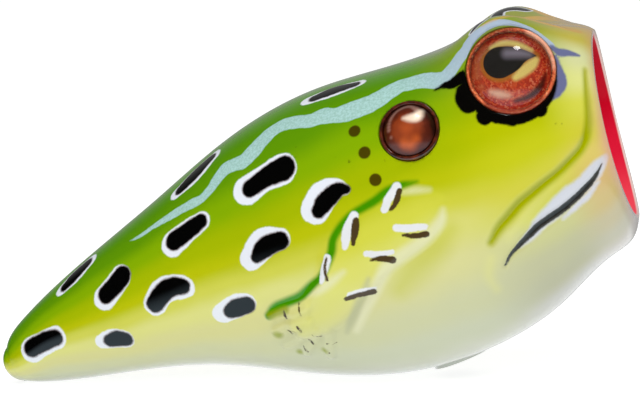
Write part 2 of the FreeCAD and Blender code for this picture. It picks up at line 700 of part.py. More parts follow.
os.makedirs("parts", exist_ok=True)
for name, (feature, local) in NODES.items():
    feature.Shape.exportStep("parts/%s.step" % name)
    print("%-20s %9.3f mm3, %d solid" % (name, feature.Shape.Volume, len(feature.Shape.Solids)))


box = Part.makeCompound([feature.Shape for feature, local in NODES.values()]).optimalBoundingBox(False)
print("box", [round(value, 4) for value in (box.XMin, box.YMin, box.ZMin, box.XMax, box.YMax, box.ZMax)])
for name, (outer, inner) in HANGERS.items():
    eye = afloat.multVec(Vector(size(outer[0]), 0, size(outer[1])))
    print(name, "eye at", [round(value, 4) for value in eye])
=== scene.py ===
"""Topwater popper, 65 mm class: two painted halves, eyes, ears, wire hangers, weights and a rattle.

Sizes are millimetres along the bait's own axes (along from the tail tip to the mouth, out from the
seam, up to the back). Meshes are in metres in the frame's axes.
"""
import math

import bmesh
import bpy
import numpy as np
from mathutils import Matrix, Vector


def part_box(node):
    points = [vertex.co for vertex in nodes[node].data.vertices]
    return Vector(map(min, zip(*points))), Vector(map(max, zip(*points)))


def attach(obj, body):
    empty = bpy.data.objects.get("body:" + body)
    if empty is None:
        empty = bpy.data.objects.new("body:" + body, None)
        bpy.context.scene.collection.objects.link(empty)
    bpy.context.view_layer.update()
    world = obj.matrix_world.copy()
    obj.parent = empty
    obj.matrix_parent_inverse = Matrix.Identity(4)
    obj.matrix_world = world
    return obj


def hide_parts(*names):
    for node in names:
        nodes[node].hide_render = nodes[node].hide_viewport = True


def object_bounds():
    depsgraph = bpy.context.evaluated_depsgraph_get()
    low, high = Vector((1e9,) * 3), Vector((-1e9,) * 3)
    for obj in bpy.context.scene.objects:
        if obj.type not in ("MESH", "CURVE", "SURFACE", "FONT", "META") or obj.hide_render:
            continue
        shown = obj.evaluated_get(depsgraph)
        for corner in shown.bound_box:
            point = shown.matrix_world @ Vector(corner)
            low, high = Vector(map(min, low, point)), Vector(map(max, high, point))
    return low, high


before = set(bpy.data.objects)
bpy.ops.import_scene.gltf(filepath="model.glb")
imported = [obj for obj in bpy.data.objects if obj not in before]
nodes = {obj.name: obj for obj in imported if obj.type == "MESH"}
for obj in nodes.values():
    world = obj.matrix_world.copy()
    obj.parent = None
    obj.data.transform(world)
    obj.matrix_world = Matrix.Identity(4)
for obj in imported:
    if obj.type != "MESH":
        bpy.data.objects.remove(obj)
cad_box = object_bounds()


# ---- Moulded halves: shape ---------------------------------------------------------------------
# Two thin ABS half shells, injection moulded with a folded arm, brows, a cheek fold and half of the
# dished mouth each. Pins and posts on the right half enter the left one, and the seam is welded.

MM = 0.001
PITCH = math.radians(19.4)  # nose-up, as it floats
# Sections: place along the axis, then the back, belly and half width from it.
SECTIONS = np.array([
    (0.0, 0.3, 2.0, 1.15), (0.5, 1.35, 2.6, 2.0), (3.3, 3.3, 3.85, 3.4), (10.3, 6.15, 5.55, 6.0),
    (20.4, 9.55, 8.25, 8.8), (30.5, 12.9, 13.0, 11.2), (39.6, 14.05, 15.9, 12.6),
    (48.7, 13.35, 16.15, 12.9), (56.8, 12.9, 14.45, 12.4), (62.8, 11.45, 12.05, 11.3),
    (65.4, 10.25, 11.1, 10.5), (66.25, 9.55, 9.55, 9.5)])
RUNS = np.concatenate([[0.0], np.cumsum(np.linalg.norm(np.diff(SECTIONS, axis=0), axis=1))])
RIM = SECTIONS[-1, 0]
TAIL_SQUARENESS, HEAD_SQUARENESS, HEAD_START = 2.1, 2.6, 48.7
TIP_DROOP, DROOP_END = 0.85, 6.0
BROW_ALONG, BROW_UP, BROW_OUT = 58.6, 12.6, 8.6
BROW_LENGTH, BROW_BREADTH, BROW_RISE = 4.9, 4.6, 4.2
LIP_SETBACK, LIP_START = 0.5, 0.8  # the lip's sides lie back, from this share of the length on

MOUTH_TILT, TILT_START = math.radians(7.6), 42.0
AHEAD_WAY = np.array([math.cos(MOUTH_TILT), 0.0, -math.sin(MOUTH_TILT)])
UP_WAY = np.array([math.sin(MOUTH_TILT), 0.0, math.cos(MOUTH_TILT)])
RIM_MIDDLE = np.array([RIM, 0.0, 0.0])
DISH_OPENING, DISH_DEPTH = 9.15, 6.0
DISH_RADIUS = (DISH_OPENING ** 2 + DISH_DEPTH ** 2) / (2 * DISH_DEPTH)
DISH_CENTRE = RIM_MIDDLE + (DISH_RADIUS - DISH_DEPTH) * AHEAD_WAY

# The rattle tube's middle lies here on the bait's own axes, which ties them to the frame.
RATTLE_ALONG, RATTLE_UP = 28.0, 1.5
TURN = np.array([[math.cos(PITCH), 0.0, -math.sin(PITCH)], [0.0, 1.0, 0.0],
                 [math.sin(PITCH), 0.0, math.cos(PITCH)]])
rattle_low, rattle_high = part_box("rattle_tube")
rattle_middle = np.array((rattle_low + rattle_high) / 2)
TAIL_TIP = (rattle_middle - TURN @ np.array([RATTLE_ALONG, 0.0, RATTLE_UP]) * MM) * np.array([1, 0, 1])


def afloat(points):
    """Points in millimetres on the bait's own axes, as metres in the frame."""
    return np.asarray(points) @ TURN.T * MM + TAIL_TIP


def aboard(points):
    """Points in metres in the frame, as millimetres on the bait's own axes."""
    return (np.asarray(points) - TAIL_TIP) @ TURN / MM


def through(places, values):
    """Natural cubic spline through (places, values)."""
    gaps = np.diff(places)
    slopes = np.diff(values) / gaps
    bend = np.eye(len(places))
    pull = np.zeros(len(places))
    for k in range(1, len(places) - 1):
        bend[k, k - 1:k + 2] = gaps[k - 1], 2 * (gaps[k - 1] + gaps[k]), gaps[k]
        pull[k] = 6 * (slopes[k] - slopes[k - 1])
    curve = np.linalg.solve(bend, pull)

    def value(place):
        k = np.clip(np.searchsorted(places, place, side="right") - 1, 0, len(places) - 2)
        near = (places[k + 1] - place) / gaps[k]
        far = 1 - near
        return (near * values[k] + far * values[k + 1]
                + ((near ** 3 - near) * curve[k] + (far ** 3 - far) * curve[k + 1]) * gaps[k] ** 2 / 6)

    return value


ALONG, BACK, BELLY, HALF_WIDTH = [through(RUNS, SECTIONS[:, k]) for k in range(4)]
RUN_STEPS = np.linspace(0, RUNS[-1], 2000)


def eased(share):
    """Smooth step from 0 to 1."""
    share = np.clip(share, 0, 1)
    return share * share * (3 - 2 * share)


def droop_at(along):
    """How far the sections' centres lie below the axis."""
    return TIP_DROOP * (1 - eased(along / DROOP_END))


def tilt_at(along):
    """How far the sections lean forward, in radians."""
    return MOUTH_TILT * eased((along - TILT_START) / (RIM - TILT_START))


def setback_at(along, angle):
    """How far the skin lies behind its section, which is most at the sides of the lip."""
    return LIP_SETBACK * np.cos(angle) ** 2 * eased((along / RIM - LIP_START) / (1 - LIP_START))


def bare_skin(run, angle, inset=0.0):
    """Right half's outside without its relief: angle runs from the belly, -pi/2, to the back."""
    along = ALONG(run)
    droop = droop_at(along)
    height = np.where(angle > 0, BACK(run) + droop, BELLY(run) - droop)
    power = TAIL_SQUARENESS + (HEAD_SQUARENESS - TAIL_SQUARENESS) * eased(along / HEAD_START)
    across = np.abs(np.cos(angle)) / (HALF_WIDTH(run) - inset)
    upright = np.abs(np.sin(angle)) / (height - inset)
    reach = (across ** power + upright ** power) ** (-1 / power)
    up, out = reach * np.sin(angle), reach * np.cos(angle)
    from_brow = np.hypot((along - BROW_ALONG) / BROW_LENGTH,
                         np.hypot(up - BROW_UP, out - BROW_OUT) / BROW_BREADTH)
    reach = reach + BROW_RISE * np.exp(-from_brow ** 2)
    up = reach * np.sin(angle) - droop
    lean = tilt_at(along)
    ahead = along + up * np.sin(lean) - setback_at(along, angle)
    return np.stack([ahead, -reach * np.cos(angle), up * np.cos(lean)], -1)


STROKE_STEP = 0.12
MM_PER_DEGREE = 0.2  # round the body, about its mean


def strand(stroke):
    """A stroke's (along, degrees round from the side, radius) points, smoothed and closely spaced."""
    stroke = np.array(stroke, float)
    if len(stroke) == 1:
        return stroke
    ends = np.vstack([2 * stroke[0] - stroke[1], stroke, 2 * stroke[-1] - stroke[-2]])
    made = []
    for before, start, end, after in zip(ends, ends[1:], ends[2:], ends[3:]):
        length = math.hypot(end[0] - start[0], MM_PER_DEGREE * (end[1] - start[1]))
        t = np.linspace(0, 1, max(int(length / STROKE_STEP), 1), endpoint=False)[:, None]
        square = 2 * before - 5 * start + 4 * end - after
        cube = 3 * start - before - 3 * end + after
        made.append(0.5 * (2 * start + (end - before) * t + square * t ** 2 + cube * t ** 3))
    return np.vstack(made + [stroke[-1:]])


def on_skin(strokes, surface):
    """Strokes on the body, as closely spaced points in the air and their radii."""
    for stroke in strokes:
        marks = strand(stroke)
        run = np.interp(marks[:, 0], ALONG(RUN_STEPS), RUN_STEPS)
        yield surface(run, np.radians(marks[:, 1])), marks[:, 2]


FAR = 2.5  # distances from a stroke's edge stop at this


def from_edge(points, strokes):
    """Millimetres from each point to the nearest edge of the strokes, less than zero inside."""
    found = np.full(len(points), FAR)
    for spots, radii in strokes:
        room = FAR + radii.max()
        inside = (points > spots.min(0) - room) & (points < spots.max(0) + room)
        near = np.nonzero(np.all(inside, axis=1))[0]
        for chunk in np.array_split(near, 1 + len(near) // 4000):
            if len(chunk):
                gaps = np.linalg.norm(points[chunk, None] - spots[None], axis=2) - radii
                found[chunk] = np.minimum(found[chunk], gaps.min(1))
    return found


ARM = [[(47.8, -2, 1.3), (45.7, -3, 2.5), (42.8, -4, 3.0), (39.3, -10, 3.0), (36.6, -21, 2.4),
        (34.0, -28, 2.0), (31.9, -31, 1.6)]]
TOES = [[(32.6, -24, 0.6), (30.4, -24, 0.55), (28.8, -25, 0.45)],
        [(32.3, -30, 0.6), (30.3, -31, 0.5), (28.6, -33, 0.4)],
        [(32.2, -34, 0.55), (29.9, -40, 0.5), (28.9, -42, 0.4)],
        [(32.7, -36, 0.55), (31.2, -43, 0.5), (30.5, -48, 0.4)],
        [(33.6, -38, 0.55), (33.0, -45, 0.5), (32.6, -51, 0.4)]]
CHEEK_FOLD = [[(65.6, 36, 0.03), (65.4, 24, 0.15), (65.2, 14, 0.25), (64.9, 8, 0.28),
               (64.3, 2, 0.3), (63.5, -2, 0.3), (62.3, -5, 0.3), (60.8, -8, 0.3), (59.2, -10, 0.33),
               (57.7, -12, 0.36), (56.2, -14, 0.38), (54.8, -17, 0.36), (53.4, -20, 0.3), (52.2, -24, 0.15)]]
MOUTH_LINE = [[(65.3, -13, 0.1), (64.4, -17, 0.25), (63.2, -20, 0.33), (62.1, -22, 0.38), (60.6, -24, 0.42),
               (59.0, -25, 0.42), (57.3, -26, 0.4), (56.0, -28, 0.35), (54.7, -30, 0.28), (53.6, -32, 0.2),
               (52.7, -35, 0.13)]]
BROW_CREST = [[(52.8, 54, 0.1), (54.7, 54, 0.2), (56.1, 55, 0.3), (57.6, 57, 0.3), (59.2, 59, 0.3),
               (60.6, 62, 0.3), (62.2, 66, 0.25), (63.9, 66, 0.1)]]
# Each relief: its strokes, its height, and half the width over which its edge rises.
RELIEFS = [(ARM, 0.65, 0.55), (TOES, 0.3, 0.25), (CHEEK_FOLD, -0.35, 0.45), (MOUTH_LINE, -0.3, 0.22),
           (BROW_CREST, 0.08, 0.35)]
SKIN_INSET = 0.012  # keeps the skin just inside the frame's solids
# The flank presses flatter from the first of these half widths on, and never reaches the second.
FLANK, WIDEST = 12.2, 12.96


def moulded(run, angle):
    """Right half's outside with its relief raised or sunk along the surface's normal."""
    shape = run.shape
    run, angle = run.ravel(), angle.ravel()
    base = bare_skin(run, angle)
    step = 1e-3
    ahead, back = np.minimum(run + step, RUNS[-1]), np.maximum(run - step, 0)
    forward = bare_skin(ahead, angle) - bare_skin(back, angle)
    round_it = bare_skin(run, angle + step) - bare_skin(run, angle - step)
    normal = np.cross(forward, round_it)
    normal /= np.linalg.norm(normal, axis=1)[:, None]
    height = np.full(len(base), -SKIN_INSET)
    for strokes, rise, soft in RELIEFS:
        height += rise * eased(0.5 - from_edge(base, on_skin(strokes, bare_skin)) / (2 * soft))
    made = base + normal * height[:, None]
    beyond = np.maximum(-made[:, 1] - FLANK, 0) / (WIDEST - FLANK)
    made[:, 1] -= (WIDEST - FLANK) * (1 - np.exp(-beyond) - beyond)
    return made.reshape(shape + (3,))


def half_hull(run_first, run_last, rows, columns, surface, lip=()):
    """Closed mesh of the right half: skin rows, then the rows given, ending in a flat or a pole."""
    runs = np.linspace(run_first, run_last, rows + 1)
    angles = np.linspace(-math.pi / 2, math.pi / 2, columns + 1)
    grid = surface(np.repeat(runs[:, None], columns + 1, 1), np.repeat(angles[None], rows + 1, 0))
    for row in lip:
        grid = np.concatenate([grid, row(grid)[None]])
    grid[:, [0, -1], 1] = 0.0
    count, width = grid.shape[:2]
    mesh = bmesh.new()
    places = afloat(grid.reshape(-1, 3)).reshape(grid.shape)
    verts = [[mesh.verts.new(point) for point in line] for line in places]
    for k in range(count - 1):
        for j in range(width - 1):
            mesh.faces.new((verts[k][j], verts[k + 1][j], verts[k + 1][j + 1], verts[k][j + 1]))
    mesh.faces.new(verts[0])
    if not lip:
        mesh.faces.new(verts[-1])
    seam = [line[0] for line in verts] + [line[-1] for line in reversed(verts)]
    mesh.faces.new(seam)
    bmesh.ops.remove_doubles(mesh, verts=mesh.verts, dist=2e-6)
    bmesh.ops.triangulate(mesh, faces=[face for face in mesh.faces if len(face.verts) > 4])
    bmesh.ops.recalc_face_normals(mesh, faces=mesh.faces)
    return mesh


def polar(share):
    """Row of the dish at this share of the way from its edge to its middle."""
    def row(grid):
        across = grid[ROWS] - RIM_MIDDLE
        setback = -across @ AHEAD_WAY
        round_mouth = np.arctan2(across @ UP_WAY, -across[:, 1])
        spread = np.arccos((DISH_RADIUS - DISH_DEPTH + setback) / DISH_RADIUS) * (1 - share)
        ahead, aside = -DISH_RADIUS * np.cos(spread), DISH_RADIUS * np.sin(spread)
        upward, outward = aside * np.sin(round_mouth), -aside * np.cos(round_mouth)
        return (DISH_CENTRE + ahead[:, None] * AHEAD_WAY + upward[:, None] * UP_WAY
                + outward[:, None] * np.array([0, 1, 0]))
    return row


def lip_row(share):
    """Row of the lip's flat at this share of the way from the skin to the dish."""
    edge = polar(0.0)
    return lambda grid: grid[ROWS] + share * (edge(grid) - grid[ROWS])


ROWS, COLUMNS = 320, 176
DISH_ROWS = 40
lip = [lip_row(share) for share in (0.3, 0.8)] + [polar((k + 1) / DISH_ROWS) for k in range(DISH_ROWS)]


def solid(name, mesh):
    """Object from a bmesh."""
    data = bpy.data.meshes.new(name)
    mesh.to_mesh(data)
    mesh.free()
    made = bpy.data.objects.new(name, data)
    bpy.context.scene.collection.objects.link(made)
    return made


def combined(base, tool, how):
    """The base with the tool cut from it, joined to it or shared with it. Both are used up."""
    change = base.modifiers.new(how, "BOOLEAN")
    change.operation, change.solver, change.object = how, "MANIFOLD", tool
    change.material_mode = "TRANSFER"
    bpy.context.view_layer.update()
    made = bpy.data.meshes.new_from_object(base.evaluated_get(bpy.context.evaluated_depsgraph_get()))
    base.modifiers.clear()
    base.data = made
    bpy.data.objects.remove(tool)
    return base


def drum(name, radius, low, high, place):
    """Closed cylinder from low to high along its own Z axis."""
    mesh = bmesh.new()
    bmesh.ops.create_cone(mesh, cap_ends=True, segments=96, radius1=radius * MM, radius2=radius * MM,
                          depth=(high - low) * MM,
                          matrix=place @ Matrix.Translation((0, 0, (low + high) / 2 * MM)))
    return solid(name, mesh)


def ball(name, radius, middle):
    """Closed ball about a point of the bait."""
    mesh = bmesh.new()
    bmesh.ops.create_icosphere(mesh, subdivisions=4, radius=radius * MM,
                               matrix=Matrix.Translation(Vector(afloat(middle))))
    return solid(name, mesh)


def half_of(piece, side):
    """The part of a piece on one side of the seam."""
    room = bmesh.new()
    bmesh.ops.create_cube(room, size=0.2, matrix=Matrix.Translation((0, side * 0.1, 0)))
    return combined(piece, solid("room", room), "INTERSECT")


# Seats of the eye and the ear: along, up and out of the shell's face, degrees up and forward, depth.
SEATS = {"eye": (59.5, 9.05, 10.2, 18.0, 9.0, 1.2), "ear": (48.4, 7.35, 11.6, 24.0, 1.0, 0.9)}


def seat(side, kind):
    """Middle of a seat's floor on the bait's axes, and the ways to the nose, up and out from it."""
    along, up, out, tilt, lead, sink = SEATS[kind]
    tilt, lead = math.radians(tilt), math.radians(lead)
    look = np.array([math.cos(tilt) * math.sin(lead), side * math.cos(tilt) * math.cos(lead),
                     math.sin(tilt)])
    fore = np.array([1.0, 0.0, 0.0]) - look[0] * look
    fore /= np.linalg.norm(fore)
    rise = np.cross(fore, look) * side
    return np.array([along, side * out, up]) - look * sink, fore, rise, look


def upright(middle, look):
    """Place in the frame of something that stands on this point of the bait and looks that way."""
    turn = Vector(TURN @ np.array(look)).to_track_quat("Z", "Y").to_matrix().to_4x4()
    return Matrix.Translation(Vector(afloat(middle))) @ turn


HANGER_ALONG = 43.3
COLLAR_RADIUS, COLLAR_PROUD, RECESS_RADIUS = 2.8, 0.12, 2.22
NUB_RADIUS, NUB_MIDDLE = 2.3, (1.6, 0, -0.75)
SLOT_SIZE, SLOT_MIDDLE = (1.62, 3.8, 4.1), (0.4, 0, -0.75)
SEAT_RADII = {"eye": 4.42, "ear": 3.07}
CORE_INSET, CORE_START = 0.75, 1.6  # half a wall: where the skin's mesh gives way to the frame's hollow
belly_run = np.interp(HANGER_ALONG, ALONG(RUN_STEPS), RUN_STEPS)
belly_face = float(bare_skin(belly_run, -math.pi / 2)[2]) - COLLAR_PROUD


def moulded_half(side, word):
    """One half: outside, collar, nub, the seats' mouths, and the hollow and bosses of the frame's solid."""
    core = half_hull(CORE_START, RUNS[-1] - CORE_START, 150, 80,
                     lambda run, angle: bare_skin(run, angle, CORE_INSET))
    for vert in core.verts:
        if abs(vert.co.y) < 1e-7:
            vert.co.y = 0.5 * MM
    outside = half_hull(0.0, RUNS[-1] - 0.05, ROWS, COLUMNS, moulded, lip)
    for mesh in (core, outside):
        if side > 0:
            bmesh.ops.scale(mesh, vec=(1, -1, 1), verts=mesh.verts)
            bmesh.ops.reverse_faces(mesh, faces=mesh.faces)
    core, outside = solid("core", core), solid("skin_" + word, outside)
    welded = bmesh.new()
    welded.from_mesh(nodes["shell_" + word].data)
    bmesh.ops.remove_doubles(welded, verts=welded.verts, dist=1e-7)
    hollow = combined(core, ball("dish", DISH_RADIUS + 0.5, DISH_CENTRE), "DIFFERENCE")
    hollow = combined(hollow, solid("welded", welded), "DIFFERENCE")
    upward = upright((HANGER_ALONG, 0, belly_face), (0, 0, 1))
    outside = combined(outside, half_of(drum("collar", COLLAR_RADIUS, 0, 1.2, upward), side), "UNION")
    outside = combined(outside, half_of(ball("nub", NUB_RADIUS, NUB_MIDDLE), side), "UNION")
    outside = combined(outside, hollow, "DIFFERENCE")
    for kind, radius in SEAT_RADII.items():
        floor_middle, fore, rise, look = seat(side, kind)
        mouth = drum(kind, radius, 0.02, 5.2, upright(floor_middle, look))
        outside = combined(outside, mouth, "DIFFERENCE")
    outside = combined(outside, drum("recess", RECESS_RADIUS, -1.5, 1.3, upward), "DIFFERENCE")
    slot = bmesh.new()
    bmesh.ops.create_cube(slot, size=1.0, matrix=upright(SLOT_MIDDLE, (0, 0, 1))
                          @ Matrix.Diagonal((*(Vector(SLOT_SIZE) * MM), 1)))
    return combined(outside, solid("slot", slot), "DIFFERENCE")


# ---- Wire hangers ------------------------------------------------------------------------------
# Stainless spring wire bent into two rings: the inner one lies in the halves round its posts, and the
# outer one carries the line or a treble hook. Its inside is struck flat.


def linear(colour):
    """An sRGB hex colour as linear RGBA."""
    parts = [int(colour[k:k + 2], 16) / 255 for k in (0, 2, 4)]
    return [part / 12.92 if part <= 0.04045 else ((part + 0.055) / 1.055) ** 2.4 for part in parts] + [1.0]


def feed(tree, node, feeds):
    """Feeds a node's inputs with values or with other nodes' outputs."""
    for name, value in feeds.items():
        if isinstance(value, bpy.types.NodeSocket):
            tree.links.new(value, node.inputs[name])
        else:
            node.inputs[name].default_value = value


def add(tree, kind, feeds=None, stops=(), **settings):
    """Adds one node with its settings and feeds, and with a ramp's (place, hex) stops."""
    made = tree.nodes.new("ShaderNode" + kind)
    for name, value in settings.items():
        setattr(made, name, value)
    feed(tree, made, feeds or {})
    if stops:
        made.color_ramp.interpolation = "EASE"
        colours = made.color_ramp.elements
        while len(colours) < len(stops):
            colours.new(0.5)
        for element, stop in zip(colours, stops):
            element.position = stop[0]
        for element, stop in zip(colours, stops):
            element.color = linear(stop[1])
    return made


def finish_named(name):
    """New material with an empty tree, its Principled shader and a position in millimetres."""
    material = bpy.data.materials.new(name)
    material.use_nodes = True
    tree = material.node_tree
    tree.nodes.clear()
    shader = add(tree, "BsdfPrincipled")
    add(tree, "OutputMaterial", {"Surface": shader.outputs["BSDF"]})
    place = add(tree, "TexCoord").outputs["Object"]
    place = add(tree, "VectorMath", {0: place, "Scale": 1000.0}, operation="SCALE").outputs["Vector"]
    return material, tree, shader, place


def finished(name, material):
    """Gives a piece of the frame its finish."""
    for held in nodes[name].material_slots:
        held.material = material


# Drawn stainless steel: a hard bright metal with the die's faint scratches, drawn coarse enough to show.
wire_steel, tree, shader, place = finish_named("drawn_stainless_wire")
scratch = add(tree, "TexNoise", {"Vector": place, "Scale": 9.0, "Detail": 4.0}).outputs["Fac"]
steel = add(tree, "ValToRGB", {"Fac": scratch}, [(0.3, "a9abb0"), (0.7, "d2d4d8")]).outputs[0]
rough = add(tree, "MapRange", {"Value": scratch, "To Min": 0.16, "To Max": 0.34}).outputs[0]
bump = add(tree, "Bump", {"Height": scratch, "Strength": 0.15, "Distance": 0.00002}).outputs[0]
feed(tree, shader, {"Base Color": steel, "Roughness": rough, "Normal": bump})
shader.inputs["Metallic"].default_value = 1.0
for name in ("line_tie", "belly_hanger", "tail_hanger"):
    finished(name, wire_steel)


# ---- Weights -----------------------------------------------------------------------------------
# A turned brass slug across the tail's hollow and a steel ball low in the belly, both loose fits in
# sleeves of the two halves. They set the bait afloat nose-up.

# Turned brass: yellow metal with the lathe's fine rings along its length.
brass, tree, shader, place = finish_named("turned_brass")
lengthwise = add(tree, "Mapping", {"Vector": place, "Rotation": (0.0, PITCH, 0.0)}).outputs[0]
rings = add(tree, "TexWave", {"Vector": lengthwise, "Scale": 1.6, "Distortion": 0.4, "Detail": 2.0},
            bands_direction="X").outputs["Fac"]
yellow = add(tree, "ValToRGB", {"Fac": rings}, [(0.0, "b08a42"), (1.0, "d8b468")]).outputs[0]
bump = add(tree, "Bump", {"Height": rings, "Strength": 0.2, "Distance": 0.00003}).outputs[0]
feed(tree, shader, {"Base Color": yellow, "Normal": bump})
shader.inputs["Metallic"].default_value = 1.0
shader.inputs["Roughness"].default_value = 0.3
finished("tail_weight", brass)

# Ground bearing steel: nearly a mirror, with a faint ground haze.
bearing_steel, tree, shader, place = finish_named("ground_bearing_steel")
haze = add(tree, "TexNoise", {"Vector": place, "Scale": 3.0, "Detail": 5.0}).outputs["Fac"]
steel = add(tree, "ValToRGB", {"Fac": haze}, [(0.3, "b4b6ba"), (0.7, "cfd1d4")]).outputs[0]
rough = add(tree, "MapRange", {"Value": haze, "To Min": 0.06, "To Max": 0.2}).outputs[0]
feed(tree, shader, {"Base Color": steel, "Roughness": rough})
shader.inputs["Metallic"].default_value = 1.0
finished("belly_weight", bearing_steel)


# ---- Rattle ------------------------------------------------------------------------------------
# A drawn aluminium tube across the belly, closed by two pressed-in caps, with three steel balls that
# roll from side to side and click.

# Drawn aluminium: soft grey metal streaked along the tube, which lies across the bait.
drawn_aluminium, tree, shader, place = finish_named("drawn_aluminium")
stretched = add(tree, "Mapping", {"Vector": place, "Scale": (4.0, 0.3, 4.0)}).outputs[0]
streaks = add(tree, "TexNoise", {"Vector": stretched, "Scale": 1.5, "Detail": 4.0}).outputs["Fac"]
grey = add(tree, "ValToRGB", {"Fac": streaks}, [(0.3, "aeb0b4"), (0.7, "cccdd0")]).outputs[0]
rough = add(tree, "MapRange", {"Value": streaks, "To Min": 0.28, "To Max": 0.45}).outputs[0]
feed(tree, shader, {"Base Color": grey, "Roughness": rough})
shader.inputs["Metallic"].default_value = 1.0
finished("rattle_tube", drawn_aluminium)

# Moulded polyethylene: waxy black with a fine spark-eroded grain of about 0.15 mm.
black_polyethylene, tree, shader, place = finish_named("moulded_black_polyethylene")
grain = add(tree, "TexNoise", {"Vector": place, "Scale": 7.0, "Detail": 2.0}).outputs["Fac"]
black = add(tree, "ValToRGB", {"Fac": grain}, [(0.3, "141414"), (0.7, "222222")]).outputs[0]
bump = add(tree, "Bump", {"Height": grain, "Strength": 0.3, "Distance": 0.00002}).outputs[0]
feed(tree, shader, {"Base Color": black, "Normal": bump})
shader.inputs["Roughness"].default_value = 0.55
for word in ("right", "left"):
    finished("rattle_cap_" + word, black_polyethylene)
for word in ("right", "middle", "left"):
    finished("rattle_ball_" + word, bearing_steel)


# ---- Moulded halves: frog paint ----------------------------------------------------------------
# Airbrushed acrylic over white primer: green back, yellow-green flanks and a cream belly, with the
# leopard spots, side stripe, ear and eye marks masked and sprayed, all under a clear epoxy coat.
# Painted shade and highlights round the arm, the toes and the cheek fold, and a red painted lighter
# towards the dish's bottom, stand in for light.

# Strokes of each colour: (along, degrees round from the side, radius).
SPOTS = [
    [(31.6, 37, 0.9), (33.4, 38, 1.0), (35.4, 38, 1.25)],
    [(37.4, 15, 0.7), (38.5, 18, 0.85), (39.9, 20, 0.7), (40.7, 19, 0.4)],
    [(29.8, 6, 0.55), (31.0, 9, 0.95), (32.7, 9, 0.85)],
    [(22.2, 33, 0.95), (23.8, 34, 0.9), (25.5, 35, 0.75)],
    [(13.4, 23, 0.9), (14.5, 26, 1.0), (15.7, 30, 1.0)],
    [(18.1, 2, 0.9), (19.3, 7, 0.95), (20.5, 8, 0.9), (21.5, 6, 0.75)],
    [(25.1, -17, 0.7), (26.0, -16, 0.9), (27.0, -16, 0.85)],
    [(12.0, -15, 0.65), (12.8, -15, 0.85), (13.6, -17, 0.75)],
    [(3.5, 9, 0.9), (5.1, 7, 0.9), (6.5, 5, 0.8)],
    [(40.1, 68, 0.7), (42.0, 69, 1.0), (44.1, 68, 0.6)],
    [(24.1, 63, 0.7), (26.0, 66, 1.0), (27.9, 69, 0.7)],
    [(9.0, 57, 0.6), (10.4, 62, 0.9), (11.9, 65, 0.7)],
]
